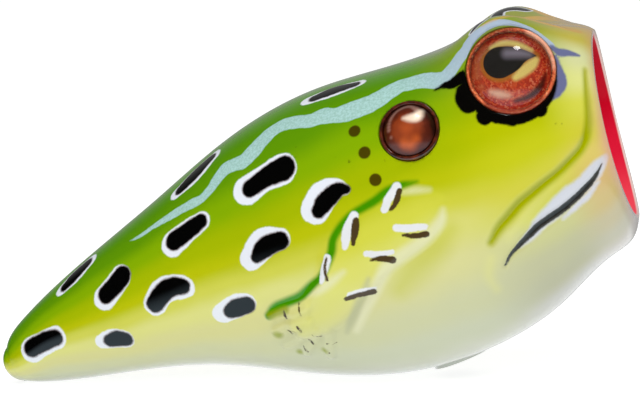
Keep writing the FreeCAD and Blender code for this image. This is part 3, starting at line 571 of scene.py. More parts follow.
# The band over the crown runs on from one half to the other, so each half has its own end of it.
CROWN = {
    -1: [[(56.1, 57, 0.2), (56.6, 59, 0.4), (57.1, 62, 0.6), (57.3, 70, 0.7), (57.2, 92, 0.7)]],
    1: [[(57.2, 92, 0.7), (57.2, 78, 0.7), (57.4, 68, 0.65), (58.0, 66, 0.65), (58.8, 66, 0.6),
         (60.0, 67, 0.5)]],
}
CROWN_HALO = 0.25
PAINT = {
    "halos": [
        [(31.2, 37, 1.55), (33.1, 38, 1.4), (35.2, 38, 1.65)],
        [(37.1, 16, 1.45), (38.3, 20, 1.45), (39.7, 21, 1.0), (40.6, 19, 0.5)],
        [(29.2, 6, 1.15), (31.0, 11, 1.45), (32.7, 10, 1.1)],
        [(22.0, 32, 1.35), (23.8, 34, 1.2), (25.6, 35, 1.0)], [(13.2, 21, 1.3), (15.5, 30, 1.25)],
        [(18.1, 2, 1.25), (19.4, 8, 1.3), (21.3, 6, 1.2), (21.8, 4, 0.9)],
        [(24.3, -17, 1.05), (25.9, -15, 1.2), (27.0, -15, 1.05)],
        [(11.1, -14, 0.75), (12.4, -14, 1.05), (13.5, -17, 1.0)],
        [(3.5, 6, 1.35), (5.0, 5, 1.2), (6.5, 5, 1.2)],
        [(39.4, 68, 0.9), (42.0, 68, 1.3), (44.5, 68, 0.8)],
        [(23.5, 62, 0.8), (26.0, 65, 1.3), (28.3, 69, 0.9)],
        [(8.5, 56, 0.7), (10.4, 61, 1.15), (12.3, 65, 0.9)]],
    "stripe": [
        [(17.4, 52, 0.06), (18.8, 50, 0.2), (20.3, 50, 0.3), (21.9, 49, 0.4), (23.7, 48, 0.5),
         (25.0, 47, 0.55), (26.2, 46, 0.5), (27.5, 48, 0.55), (28.5, 51, 0.7), (29.5, 53, 0.85),
         (30.7, 52, 0.8), (31.6, 51, 0.9), (32.8, 53, 1.0), (34.1, 56, 0.95), (35.3, 58, 0.9),
         (36.7, 58, 0.9), (38.3, 55, 0.85), (39.5, 53, 0.9), (40.6, 53, 1.05), (41.6, 51, 0.95),
         (42.9, 50, 1.15), (44.1, 50, 1.2), (45.1, 50, 1.2), (46.3, 51, 1.15), (47.5, 53, 1.1),
         (48.5, 54, 1.0), (49.7, 53, 1.0), (50.8, 51, 0.95), (52.3, 47, 0.85), (53.3, 48, 0.8),
         (54.3, 50, 0.75), (55.1, 51, 0.7), (55.9, 53, 0.7), (57.3, 54, 0.65), (58.8, 55, 0.6),
         (60.5, 54, 0.55), (61.4, 53, 0.5), (62.4, 50, 0.4), (62.9, 48, 0.3)]],
    "ear_dots": [[(43.3, 40, 0.62)], [(43.6, 30, 0.62)], [(43.7, 18, 0.62)]],
    "specks": [
        [(41.9, 29, 0.17)], [(36.9, 40, 0.12)], [(37.3, 44, 0.1)], [(40.8, 33, 0.1)], [(61.8, 14, 0.12)],
        [(62.4, 13, 0.1)], [(45.2, 24, 0.12)], [(47.4, 18, 0.1)]],
    "eye_black": [
        [(58.6, 36.6, 4.6)], [(53.9, 39, 0.55), (53.8, 36, 0.75), (54.2, 33, 0.95)], [(55.3, 26.5, 0.85)],
        [(57.8, 22.3, 0.85)], [(60.6, 22.3, 0.75)], [(56.4, 24.6, 0.65)], [(59.1, 22.3, 0.65)],
        [(51.5, 44, 0.12), (52.3, 44, 0.3), (53.2, 43, 0.5), (54.2, 43, 0.7)]],
    "temple": [
        [(62.9, 42, 0.4), (63.1, 37, 0.45), (63.1, 32, 0.6), (62.7, 28, 0.5), (62.0, 26, 0.3)],
        [(62.9, 47, 0.3), (63.5, 45, 0.45), (64.2, 45, 0.4), (65.2, 44, 0.12)]],
    "lid": [[(58.6, 52, 0.12), (59.4, 52, 0.28), (60.2, 52, 0.15)]],
    "arm": ARM,
    # Painted shade: a dark green line in the groove along the arm's upper, rear edge.
    "arm_shade": [
        [(47.4, 11, 0.12), (45.9, 12, 0.35), (44.5, 12, 0.4), (43.0, 10, 0.45), (41.6, 9, 0.42),
         (40.2, 8, 0.38), (38.9, 5, 0.42), (37.8, 1, 0.45), (37.2, -4, 0.45), (36.2, -9, 0.42),
         (35.2, -13, 0.42), (33.9, -16, 0.5), (32.5, -19, 0.5), (31.1, -20, 0.5), (29.7, -21, 0.5),
         (28.6, -24, 0.38)]],
    # Painted highlights: a pale band along the arm's lower edge and two short pale streaks on the arm.
    "arm_painted_highlight": [
        [(48.8, -4, 0.2), (48.2, -8, 0.5), (47.0, -11, 0.6), (45.2, -14, 0.65), (43.3, -16, 0.7),
         (41.8, -18, 0.7), (40.6, -22, 0.6), (39.3, -27, 0.6), (37.8, -33, 0.5), (36.3, -40, 0.3)],
        [(45.8, 9, 0.2), (46.9, 8, 0.3), (48.2, 6, 0.15)],
        [(33.4, -19, 0.2), (34.8, -18, 0.4), (36.3, -16, 0.4), (37.6, -14, 0.2)]],
    # Painted shadow: grey-green below the arm's lower edge.
    "below_arm_painted_shadow": [
        [(39.6, -20, 0.15), (38.7, -25, 0.4), (37.7, -29, 0.5), (36.3, -35, 0.45), (35.3, -40, 0.2)]],
    # Painted shade: olive yellow on the body under the arm.
    "under_arm_painted_shade": [
        [(48.8, -13, 0.3), (47.0, -18, 0.8), (45.2, -21, 1.0), (43.5, -24, 0.9), (42.0, -28, 0.5)]],
    # Painted shade about the toes.
    "toe_shade": [
        [(30.6, -23, 0.4), (28.9, -24, 0.4)], [(28.7, -35, 0.5)], [(29.9, -47, 0.35)],
        [(32.4, -47, 0.35)]],
    "arm_white": [
        [(45.4, 12, 0.45), (44.4, 9, 0.45), (43.5, 5, 0.35)],
        [(40.5, 7, 0.5), (39.4, 2, 0.5), (38.6, -4, 0.3)],
        [(36.6, -6, 0.4), (35.8, -11, 0.4), (35.2, -15, 0.25)],
        [(43.9, -4, 0.35), (45.0, -6, 0.4), (46.6, -8, 0.3)],
        [(40.3, -10, 0.3), (41.4, -12, 0.35), (42.7, -13, 0.25)],
        [(37.3, -24, 0.28), (38.6, -24, 0.3), (39.8, -25, 0.2)]],
    "arm_brown": [
        [(45.5, 10, 0.28), (44.8, 6, 0.3), (44.1, 4, 0.15)],
        [(40.6, 5, 0.35), (40.1, 1, 0.38), (39.5, -4, 0.2)],
        [(36.5, -6, 0.14), (36.0, -10, 0.18), (35.8, -15, 0.2)],
        [(44.3, -8, 0.16), (45.4, -10, 0.28), (46.5, -11, 0.3)],
        [(40.5, -13, 0.14), (41.6, -14, 0.28), (42.5, -16, 0.38)],
        [(36.8, -25, 0.18), (38.2, -25, 0.24), (39.5, -26, 0.36)]],
    "toe_ticks": [
        [(30.4, -23, 0.1), (30.3, -27, 0.16)], [(32.2, -21, 0.1), (32.0, -27, 0.1)],
        [(31.3, -31, 0.14), (31.4, -34, 0.1)], [(30.0, -33, 0.14), (30.1, -36, 0.1)],
        [(32.3, -36, 0.1), (32.8, -39, 0.13)], [(31.6, -39, 0.14), (31.8, -43, 0.1)],
        [(30.6, -43, 0.1), (30.8, -46, 0.14)], [(33.0, -43, 0.08), (33.8, -44, 0.1)],
        [(32.8, -48, 0.14)]],
    # Painted shade: an olive line in the crease of the cheek fold.
    "cheek_fold_painted_shade": CHEEK_FOLD,
    # Painted highlight: a pale band beside the cheek fold and its pale run further down the cheek.
    "fold_painted_highlight": [
        [(64.9, 7, 0.2), (63.9, 0, 0.3), (62.7, -4, 0.4), (61.0, -9, 0.45), (59.4, -12, 0.5),
         (57.9, -15, 0.5), (56.3, -19, 0.5), (55.0, -22, 0.45), (54.0, -25, 0.3)],
        [(51.6, -30, 0.3), (50.8, -36, 0.4), (51.0, -42, 0.3)]],
    "mouth_line": MOUTH_LINE,
    "lip_patch": [
        [(65.8, -11, 0.3), (64.6, -14, 0.75), (62.9, -18, 0.8), (61.1, -20, 0.9), (59.2, -23, 0.9),
         (57.6, -25, 0.75), (56.2, -28, 0.55), (54.9, -30, 0.3)],
        [(64.4, -20, 0.15), (63.0, -24, 0.3), (61.5, -26, 0.3), (60.0, -28, 0.15)]],
    "brow_paint": [
        [(57.2, 56, 0.1), (58.2, 57, 0.14), (58.9, 58, 0.16), (59.9, 61, 0.25), (61.0, 64, 0.6),
         (62.2, 67, 0.9), (63.7, 68, 0.9), (65.0, 67, 0.7)],
        [(59.9, 78, 0.5), (61.5, 76, 0.9), (63.0, 74, 1.0)]],
}


def vertices_of(piece):
    """A piece's vertices on the bait's own axes."""
    flat = np.zeros(3 * len(piece.data.vertices))
    piece.data.vertices.foreach_get("co", flat)
    return aboard(flat.reshape(-1, 3))


def noted(piece, name, values):
    """Gives every vertex of a piece a value, for its material to read."""
    held = piece.data.attributes.new(name, "FLOAT", "POINT")
    held.data.foreach_set("value", values.astype(np.float32))


def paint_masks(skin, side):
    """Gives every vertex its place on the bait and its distance in millimetres from each colour's edge."""
    points = vertices_of(skin)
    points[:, 1] *= -side
    along = points[:, 0].copy()
    for _ in range(8):
        lean = tilt_at(along)
        up = points[:, 2] / np.cos(lean)
        angle = np.arctan2(up + droop_at(along), np.maximum(-points[:, 1], 0))
        along = points[:, 0] - up * np.sin(lean) + setback_at(along, angle)
    noted(skin, "along", along)
    noted(skin, "round", np.degrees(angle))
    noted(skin, "dish", np.linalg.norm(points - DISH_CENTRE, axis=1) - DISH_RADIUS)
    masks = {name: from_edge(points, on_skin(strokes, moulded)) for name, strokes in PAINT.items()}
    crown = from_edge(points, on_skin(CROWN[side], moulded))
    masks["halos"] = np.minimum(masks["halos"], crown - CROWN_HALO)
    masks["spots"] = np.minimum(from_edge(points, on_skin(SPOTS, moulded)), crown)
    for name, values in masks.items():
        noted(skin, name, values)


def sprayed(tree, under, mask, colour, soft, grow=0.0, strength=1.0, wander=None):
    """One colour over another inside a mask's edge, which is this soft, grown by this and wanders so."""
    edge = add(tree, "Attribute", attribute_name=mask).outputs["Fac"]
    if wander:
        edge = add(tree, "Math", {0: edge, 1: wander}, operation="ADD").outputs[0]
    cover = add(tree, "MapRange", {"Value": edge, "From Min": grow + soft, "From Max": grow - soft,
                                   "To Min": 0.0, "To Max": strength}, interpolation_type="SMOOTHSTEP")
    paint = linear(colour) if isinstance(colour, str) else colour
    return add(tree, "Mix", {"Factor": cover.outputs[0], 6: under, 7: paint}, data_type="RGBA").outputs[2]


# Sprayed acrylic under clear epoxy: full colour with a wet gloss and soft airbrushed edges.
frog_paint, tree, shader, place = finish_named("sprayed_acrylic_under_epoxy")
along = add(tree, "Attribute", attribute_name="along").outputs["Fac"]
share = add(tree, "Attribute", attribute_name="round").outputs["Fac"]
drift = add(tree, "TexNoise", {"Vector": place, "Scale": 0.12, "Detail": 2.0}).outputs["Fac"]
drift = add(tree, "Math", {0: drift, 1: 10.0, 2: -5.0}, operation="MULTIPLY_ADD").outputs[0]
share = add(tree, "Math", {0: share, 1: drift}, operation="ADD").outputs[0]
share = add(tree, "MapRange", {"Value": share, "From Min": -90.0, "From Max": 90.0}).outputs[0]
ragged = add(tree, "TexNoise", {"Vector": place, "Scale": 1.1, "Detail": 3.0}).outputs["Fac"]
grain = add(tree, "TexNoise", {"Vector": place, "Scale": 4.5, "Detail": 3.0}).outputs["Fac"]
ragged = add(tree, "Math", {0: ragged, 1: 0.26, 2: -0.19}, operation="MULTIPLY_ADD").outputs[0]
ragged = add(tree, "Math", {0: grain, 1: 0.12, 2: ragged}, operation="MULTIPLY_ADD").outputs[0]

# Colours that change from belly to back, by degrees round from the side.
round_paint = {}
for name, stops in (
        ("body", [(-90, "dfe1d8"), (-70, "d2d5c6"), (-55, "c8ccb0"), (-42, "cacca0"), (-27, "d2d08c"),
                  (-14, "d6d67c"), (-3, "c9ca40"), (8, "b6bd0c"), (20, "a0b204"), (34, "7fa604"),
                  (48, "5c9006"), (64, "528c0c"), (84, "5a9420")]),
        ("head", [(-90, "dadad4"), (-65, "c7c8c1"), (-52, "babb9c"), (-40, "bfc098"), (-30, "c8c98a"),
                  (-20, "cbcc5c"), (-8, "cdca45"), (6, "c2c61c"), (20, "b2bb04"), (34, "9cae06"),
                  (48, "7f9c1c"), (62, "8d9a38"), (84, "9a9440")]),
        ("snout", [(-90, "dad8d2"), (-65, "d0cdc6"), (-52, "c6c4b0"), (-40, "c8bf9c"), (-30, "ceb97c"),
                   (-20, "d2b478"), (-6, "d8c46a"), (6, "ccc63c"), (20, "cfcf4c"), (32, "d6d886"),
                   (44, "cdd09a"), (56, "bfb24a"), (80, "c4a45c")]),
        ("blush", [(-70, "d2ccc8"), (-35, "dcbcaa"), (-5, "e2ad92"), (25, "dab78c"), (60, "c9a45e")]),
        # The dish's red is painted lighter towards its bottom: painted light falling into it from above.
        ("mouth", [(-70, "ee4a5a"), (-20, "dc1c3a"), (20, "c80826"), (60, "bc0422")])):
    stops = [((degrees + 90) / 180, paint) for degrees, paint in stops]
    round_paint[name] = add(tree, "ValToRGB", {"Fac": share}, stops).outputs[0]
to_head = add(tree, "MapRange", {"Value": along, "From Min": 48.0, "From Max": 57.0},
              interpolation_type="SMOOTHSTEP").outputs[0]
to_snout = add(tree, "MapRange", {"Value": along, "From Min": 60.0, "From Max": 65.0},
               interpolation_type="SMOOTHSTEP").outputs[0]
colour = add(tree, "Mix", {"Factor": to_head, 6: round_paint["body"], 7: round_paint["head"]},
             data_type="RGBA").outputs[2]
colour = add(tree, "Mix", {"Factor": to_snout, 6: colour, 7: round_paint["snout"]},
             data_type="RGBA").outputs[2]
band = add(tree, "ValToRGB", {"Fac": grain}, [(0.3, "97bdb2"), (0.7, "abd0cd")]).outputs[0]
band = add(tree, "Mix", {"Factor": to_head, 6: band, 7: linear("a6b6c8")}, data_type="RGBA").outputs[2]
# Coats in the order of spraying: mask, paint, softness, growth, strength, and what its edge wanders by.
for coat in (
        # Painted shade under and along the arm and about the toes, and a painted highlight on the arm's lower
        # edge.
        ("arm", "d6d84e", 1.6, -0.6, 0.45), ("under_arm_painted_shade", "bcbf24", 1.3, 0.3, 0.55),
        ("arm_painted_highlight", "dfdfbe", 0.45, 0.0, 0.65), ("below_arm_painted_shadow", "b2b592", 0.35, 0.0, 0.7),
        ("arm_shade", "3f8e00", 0.3), ("toe_shade", "8f9a10", 0.3, 0.0, 0.85),
        # Painted highlight beside the cheek fold and painted shade in its crease.
        ("fold_painted_highlight", "dddc84", 0.7, 0.0, 0.45), ("cheek_fold_painted_shade", "a2a900", 0.4, 0.22),
        ("stripe", band, 0.07, 0.0, 1.0, ragged), ("brow_paint", "c8a04a", 0.25, 0.0, 1.0, ragged),
        ("temple", "666b90", 0.16, 0.0, 1.0, ragged), ("halos", "e2e6ef", 0.1, 0.0, 1.0, ragged),
        ("spots", "3a1a08", 0.14, 0.08, 0.9, ragged), ("spots", "040404", 0.08, -0.03, 1.0, ragged),
        ("eye_black", "070605", 0.14, 0.0, 1.0, ragged), ("lid", "8a1c14", 0.12),
        ("ear_dots", "3c2605", 0.1, 0.0, 0.93), ("specks", "4d5a08", 0.08, 0.0, 0.8),
        ("lip_patch", "cfd2da", 0.25, 0.0, 1.0, ragged), ("mouth_line", "474743", 0.1, 0.0, 1.0, ragged),
        ("mouth_line", "262420", 0.12, -0.2, 1.0, ragged), ("arm_white", "e0e2e6", 0.1, 0.0, 1.0, ragged),
        ("arm_brown", "4a3a22", 0.08, 0.0, 1.0, ragged), ("toe_ticks", "3e2c14", 0.07, 0.0, 1.0, ragged),
        ("dish", round_paint["blush"], 0.9, 1.5, 0.85), ("dish", "f0cfc8", 0.1, 0.34),
        ("dish", round_paint["mouth"], 0.05, 0.05)):
    colour = sprayed(tree, colour, *coat)
# The epoxy is wiped thin inside the dish.
dish_edge = add(tree, "Attribute", attribute_name="dish").outputs["Fac"]
coat = add(tree, "MapRange", {"Value": dish_edge, "From Min": 0.0, "From Max": 0.1, "To Min": 0.15,
                              "To Max": 1.0}).outputs[0]
feed(tree, shader, {"Base Color": colour, "Coat Weight": coat})
shader.inputs["Roughness"].default_value = 0.5
shader.inputs["Specular IOR Level"].default_value = 0.0
shader.inputs["Coat Roughness"].default_value = 0.03
shader.inputs["Coat IOR"].default_value = 1.5

for side, word in ((-1, "right"), (1, "left")):
    skin = moulded_half(side, word)
    skin.data.materials.clear()
    skin.data.materials.append(frog_paint)
    skin.data.polygons.foreach_set("material_index", [0] * len(skin.data.polygons))
    skin.data.shade_smooth()
    skin.data.set_sharp_from_angle(angle=math.radians(50))
    paint_masks(skin, side)
    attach(skin, "bait")
    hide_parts("shell_" + word)


# ---- Eyes --------------------------------------------------------------------------------------
# An embossed foil disc with a rounded bead, printed with the pupil, under a clear moulded dome. Both
# are glued into the seat of their half.


def revolved(name, outline, marks, side, kind):
    """Piece turned about its seat's axis from (radius, height) points, marked with its own places and
    with its distances from strokes of (ahead, above, radius) in the plane of its seat."""
    segments = 128
    floor_middle, fore, rise, look = seat(side, kind)
    own_ways = np.array([fore, rise, look])
    turns = np.linspace(0, 2 * math.pi, segments, endpoint=False)
    radius, height = np.array(outline).T[:, :, None]
    ahead, above = radius * np.cos(turns), radius * np.sin(turns)
    own = np.stack([ahead, above, np.broadcast_to(height, ahead.shape)], -1)
    mesh = bmesh.new()
    made = [[mesh.verts.new(point) for point in line] for line in afloat(floor_middle + own @ own_ways)]
    for near, far in zip(made, made[1:]):
        for k in range(segments):
            mesh.faces.new((near[k - 1], near[k], far[k], far[k - 1]))
    bmesh.ops.remove_doubles(mesh, verts=mesh.verts, dist=1e-7)
    bmesh.ops.recalc_face_normals(mesh, faces=mesh.faces)
    piece = solid(name, mesh)
    own = (vertices_of(piece) - floor_middle) @ own_ways.T
    noted(piece, "fore", own[:, 0])
    noted(piece, "rise", own[:, 1])
    flatly = np.array([1, 1, 0])
    for mark, strokes in marks.items():
        laid = [(strand(stroke) * flatly, strand(stroke)[:, 2]) for stroke in strokes]
        noted(piece, mark, from_edge(own * flatly, laid))
    piece.data.shade_smooth()
    piece.data.set_sharp_from_angle(angle=math.radians(40))
    return piece


FACE = 3.91  # radius of the foil's flat face, inside the bead
IRIS = [(0, 0), (4.34, 0), (4.34, 1.3), (4.32, 1.42), (4.26, 1.51), (4.18, 1.56), (4.1, 1.57), (4.02, 1.54),
        (3.95, 1.47), (FACE, 1.36), (FACE, 0.5)]
IRIS += [(FACE * k / 40, 0.5) for k in range(39, -1, -1)]
IRIS_MARKS = {
    # Painted highlight on the bead's right side, where the light comes from.
    "bead_painted_highlight": [[(2.9, 3.0, 0.3), (3.8, 1.7, 0.35), (4.15, 0.3, 0.35), (4.0, -1.0, 0.25)]],
    # Painted shade on the bead's lower side.
    "bead_shade": [[(-3.2, -2.7, 0.3), (-1.8, -3.7, 0.35), (0.0, -4.15, 0.35), (1.8, -3.7, 0.3)]],
    # Painted highlight: an orange arc on the iris's left.
    "left_painted_highlight": [[(-1.6, 2.9, 0.3), (-2.4, 1.9, 0.45), (-2.9, 0.7, 0.45), (-2.9, -0.4, 0.3)]],
    # Painted highlight: a pale pink dash below the pupil.
    "low_painted_highlight": [[(-2.2, -1.1, 0.2), (-1.6, -1.5, 0.35), (-0.9, -1.9, 0.2)]],
    "gold": [[(-0.9, 2.6, 0.12), (0.0, 2.64, 0.2), (0.8, 2.37, 0.2), (1.5, 1.9, 0.18), (2.2, 1.25, 0.1)],
             [(2.3, 0.3, 0.2), (1.8, 0.0, 0.36), (1.0, -0.3, 0.36), (0.2, -0.6, 0.2)]],
    "crescent": [[(2.8, -1.2, 0.1), (2.0, -2.1, 0.28), (0.8, -2.6, 0.25), (-0.5, -2.6, 0.1)]],
    "pupil": [[(-0.68, 1.09, 1.38), (0.11, 1.04, 1.17), (0.92, 1.03, 0.75), (1.67, 0.91, 0.38),
               (2.46, 0.64, 0.05)]],
    # Painted reflection: a lavender patch over the top of the pupil.
    "pupil_painted_reflection": [[(0.2, 1.6, 0.3), (1.1, 1.3, 0.3), (1.9, 0.9, 0.15)]],
}

# Hot-stamped foil: glitter of about 0.15 mm flakes in lacquered orange, which glints as it turns.
foil, tree, shader, place = finish_named("orange_glitter_foil")
fore = add(tree, "Attribute", attribute_name="fore").outputs["Fac"]
rise = add(tree, "Attribute", attribute_name="rise").outputs["Fac"]
flat = add(tree, "CombineXYZ", {0: fore, 1: rise}).outputs[0]
radius = add(tree, "VectorMath", {0: flat}, operation="LENGTH").outputs["Value"]
flakes = add(tree, "TexVoronoi", {"Vector": place, "Scale": 6.0})
glint = add(tree, "SeparateColor", {0: flakes.outputs["Color"]})
wash = add(tree, "TexNoise", {"Vector": place, "Scale": 0.9, "Detail": 3.0}).outputs["Fac"]
spread = add(tree, "Math", {0: wash, 1: 0.5, 2: -0.25}, operation="MULTIPLY_ADD").outputs[0]
spread = add(tree, "Math", {0: radius, 1: spread}, operation="ADD").outputs[0]
share = add(tree, "MapRange", {"Value": spread, "From Max": 5.0}).outputs[0]
# The dark ring just inside the bead, where the dome's edge stands on the foil, is painted shade.
colour = add(tree, "ValToRGB", {"Fac": share}, [
    (0.0, "e0501a"), (0.45, "e03416"), (0.66, "d42010"), (0.75, "b0160a"), (0.78, "3e0c08"),
    (0.8, "b4381e"), (0.83, "f27848"), (0.87, "c4452a")]).outputs[0]
glow = add(tree, "ValToRGB", {"Fac": glint.outputs[0]}, [
    (0.0, "3a0e06"), (0.5, "d0502a"), (0.85, "ff9c50"), (1.0, "ffd8a0")]).outputs[0]
colour = add(tree, "Mix", {"Factor": 0.3, 6: colour, 7: glow}, data_type="RGBA").outputs[2]
# Painted highlight and shade on the bead, painted highlights round the pupil and a painted reflection on it.
for coat in (
        ("bead_painted_highlight", "ffc4a4", 0.4, 0.0, 0.75), ("bead_shade", "7c1408", 0.5, 0.0, 0.75),
        ("left_painted_highlight", "d8784c", 0.45, 0.0, 0.7), ("low_painted_highlight", "ffd0b4", 0.35, 0.0, 0.95),
        ("pupil", "c87c1c", 0.18, 0.32, 0.9), ("gold", "fff090", 0.22, 0.08),
        ("crescent", "240806", 0.25, 0.05, 0.9), ("pupil", "030303", 0.05),
        ("pupil_painted_reflection", "9c9ab4", 0.45, 0.05, 0.85)):
    colour = sprayed(tree, colour, *coat)
facet = add(tree, "Bump", {"Height": glint.outputs[1], "Strength": 0.25, "Distance": 0.00004}).outputs[0]
feed(tree, shader, {"Base Color": colour, "Normal": facet})
shader.inputs["Metallic"].default_value = 0.2
shader.inputs["Roughness"].default_value = 0.35

# Clear acrylic: a polished dome that magnifies the foil, very slightly warm. Lamps shine straight through.
clear_acrylic, tree, shader, place = finish_named("clear_moulded_acrylic")
flow = add(tree, "TexNoise", {"Vector": place, "Scale": 0.4, "Detail": 1.0}).outputs["Fac"]
warm = add(tree, "ValToRGB", {"Fac": flow}, [(0.3, "fffaf4"), (0.7, "fff6ea")]).outputs[0]
feed(tree, shader, {"Base Color": warm})
shader.inputs["Transmission Weight"].default_value = 1.0
shader.inputs["Specular IOR Level"].default_value = 0.3
shader.inputs["Roughness"].default_value = 0.0
shader.inputs["IOR"].default_value = 1.49
lit = add(tree, "LightPath").outputs["Is Shadow Ray"]
open_path = add(tree, "BsdfTransparent").outputs[0]
through_it = add(tree, "MixShader", {"Fac": lit, 1: shader.outputs[0], 2: open_path}).outputs[0]
feed(tree, tree.nodes["Material Output"], {"Surface": through_it})


def dome(radius, low, edge, top):
    """Outline of a dome with a straight edge and a slightly rounded foot."""
    steps, foot = 28, 0.06
    ball_radius = (radius ** 2 + (top - edge) ** 2) / (2 * (top - edge))
    leans = [math.asin(radius / ball_radius) * (1 - k / steps) for k in range(steps + 1)]
    arc = [(ball_radius * math.sin(lean), top - ball_radius + ball_radius * math.cos(lean)) for lean in leans]
    return [(0, low), (radius - foot, low), (radius, low + foot)] + arc


for side, word in ((-1, "right"), (1, "left")):
    iris = revolved("iris_" + word, IRIS, IRIS_MARKS, side, "eye")
    iris.data.materials.append(foil)
    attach(iris, "bait")
    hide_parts("iris_disc_" + word)
    lens = revolved("lens_" + word, dome(3.85, 0.52, 1.1, 2.79), {}, side, "eye")
    lens.data.materials.append(clear_acrylic)
    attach(lens, "bait")
    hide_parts("eye_lens_" + word)


# ---- Ears --------------------------------------------------------------------------------------
# A dark brown moulded cup with a small coppery resin dome, glued into the seat behind the eye.

EAR_CUP = [(0, 0), (2.99, 0), (2.99, 0.82), (2.96, 0.93), (2.88, 0.99), (2.78, 1.0), (2.68, 0.97),
           (2.62, 0.88), (2.6, 0.4), (0, 0.4)]
EAR_MARKS = {
    # Painted light: a bright orange pool low in the dome, where light shone through it gathers.
    "low_painted_light": [[(-0.7, -1.4, 0.4), (-0.2, -1.7, 0.35), (0.5, -1.4, 0.25)]],
    # Painted reflection: a pale arc of the lamp along the dome's upper edge.
    "swirl": [[(1.35, 1.6, 0.25), (0.7, 2.2, 0.14), (-0.5, 2.1, 0.12), (-1.4, 1.4, 0.16), (-1.8, 0.5, 0.18),
               (-1.8, -0.3, 0.1)]],
    # Painted highlight: the lamp's bright patch on the dome's upper right.
    "peach_painted_highlight": [[(0.0, 0.95, 0.15), (0.6, 0.75, 0.4), (1.2, 0.7, 0.5), (1.6, 1.15, 0.3)]],
    "hook": [[(-0.3, 1.85, 0.08), (0.4, 1.85, 0.14), (0.75, 1.65, 0.14), (0.6, 1.42, 0.1)]],
}

# Pearl-filled polyester resin: warm copper that darkens to the rim, wet and deep.
copper_resin, tree, shader, place = finish_named("cast_copper_pearl_resin")
fore = add(tree, "Attribute", attribute_name="fore").outputs["Fac"]
rise = add(tree, "Attribute", attribute_name="rise").outputs["Fac"]
aside = add(tree, "CombineXYZ", {0: fore, 1: rise}).outputs[0]
aside = add(tree, "VectorMath", {0: aside, 1: (0.1, 0.2, 0.0)}, operation="ADD").outputs[0]
aside = add(tree, "VectorMath", {0: aside}, operation="LENGTH").outputs["Value"]
cloud = add(tree, "TexNoise", {"Vector": place, "Scale": 1.3, "Detail": 4.0}).outputs["Fac"]
cloud = add(tree, "Math", {0: cloud, 1: 0.8, 2: -0.4}, operation="MULTIPLY_ADD").outputs[0]
aside = add(tree, "Math", {0: aside, 1: cloud}, operation="ADD").outputs[0]
share = add(tree, "MapRange", {"Value": aside, "From Max": 2.6}).outputs[0]
colour = add(tree, "ValToRGB", {"Fac": share}, [
    (0.0, "b44a14"), (0.45, "983a0c"), (0.78, "5c1c06"), (1.0, "2a0a04")]).outputs[0]
# Painted light low in the dome, a painted reflection along its edge and a painted highlight on top.
for coat in (
        ("low_painted_light", "d05c18", 0.5, 0.0, 0.9), ("swirl", "c09080", 0.2, 0.0, 0.6),
        ("peach_painted_highlight", "ffe6cc", 0.3), ("hook", "64240c", 0.15, 0.0, 0.9)):
    colour = sprayed(tree, colour, *coat)
feed(tree, shader, {"Base Color": colour})
shader.inputs["Metallic"].default_value = 0.2
shader.inputs["Roughness"].default_value = 0.4
shader.inputs["Coat Weight"].default_value = 0.45
shader.inputs["Coat Roughness"].default_value = 0.02

# Moulded brown ABS under lacquer: a dark glossy rim with a faint swirl of pigment.
brown_abs, tree, shader, place = finish_named("moulded_brown_abs")
pigment = add(tree, "TexNoise", {"Vector": place, "Scale": 1.5, "Detail": 4.0}).outputs["Fac"]
brown = add(tree, "ValToRGB", {"Fac": pigment}, [(0.3, "2c0c04"), (0.7, "6a260c")]).outputs[0]
feed(tree, shader, {"Base Color": brown})
shader.inputs["Roughness"].default_value = 0.35
shader.inputs["Coat Weight"].default_value = 1.0
shader.inputs["Coat Roughness"].default_value = 0.04

for side, word in ((-1, "right"), (1, "left")):
    cup = revolved("ear_cup_" + word, EAR_CUP, {}, side, "ear")
    cup.data.materials.append(brown_abs)
    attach(cup, "bait")
    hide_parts("ear_disc_" + word)
    drop = revolved("ear_drop_" + word, dome(2.55, 0.42, 0.9, 2.09), EAR_MARKS, side, "ear")
    drop.data.materials.append(copper_resin)
    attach(drop, "bait")
    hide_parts("ear_dome_" + word)


# ---- Studio ------------------------------------------------------------------------------------
# A pale table under a plain white room, three soft lamps and a long lens.

floor_mesh = bmesh.new()
bmesh.ops.create_grid(floor_mesh, x_segments=1, y_segments=1, size=3.0,
                      matrix=Matrix.Translation((0, 0, cad_box[0].z - 0.0001)))
floor = solid("table", floor_mesh)
# White laminate: a pale matt top that looks white to the camera and throws a little light up.
table_top, tree, shader, place = finish_named("white_laminate")
shader.inputs["Base Color"].default_value = linear("ececec")
shader.inputs["Roughness"].default_value = 0.6
rays = add(tree, "LightPath").outputs["Is Camera Ray"]
bounce = add(tree, "Emission", {"Strength": 0.3}).outputs[0]
glow = add(tree, "Emission", {"Strength": 0.78}).outputs[0]
unlit = add(tree, "BsdfTransparent", {"Color": (0, 0, 0, 1)}).outputs[0]
dim = add(tree, "MixShader", {"Fac": 0.62, 1: unlit, 2: shader.outputs[0]}).outputs[0]
shown = add(tree, "AddShader", {0: dim, 1: glow}).outputs[0]
giving = add(tree, "AddShader", {0: shader.outputs[0], 1: bounce}).outputs[0]
pick = add(tree, "MixShader", {"Fac": rays, 1: giving, 2: shown}).outputs[0]
feed(tree, tree.nodes["Material Output"], {"Surface": pick})
floor.visible_glossy = False
floor.data.materials.append(table_top)

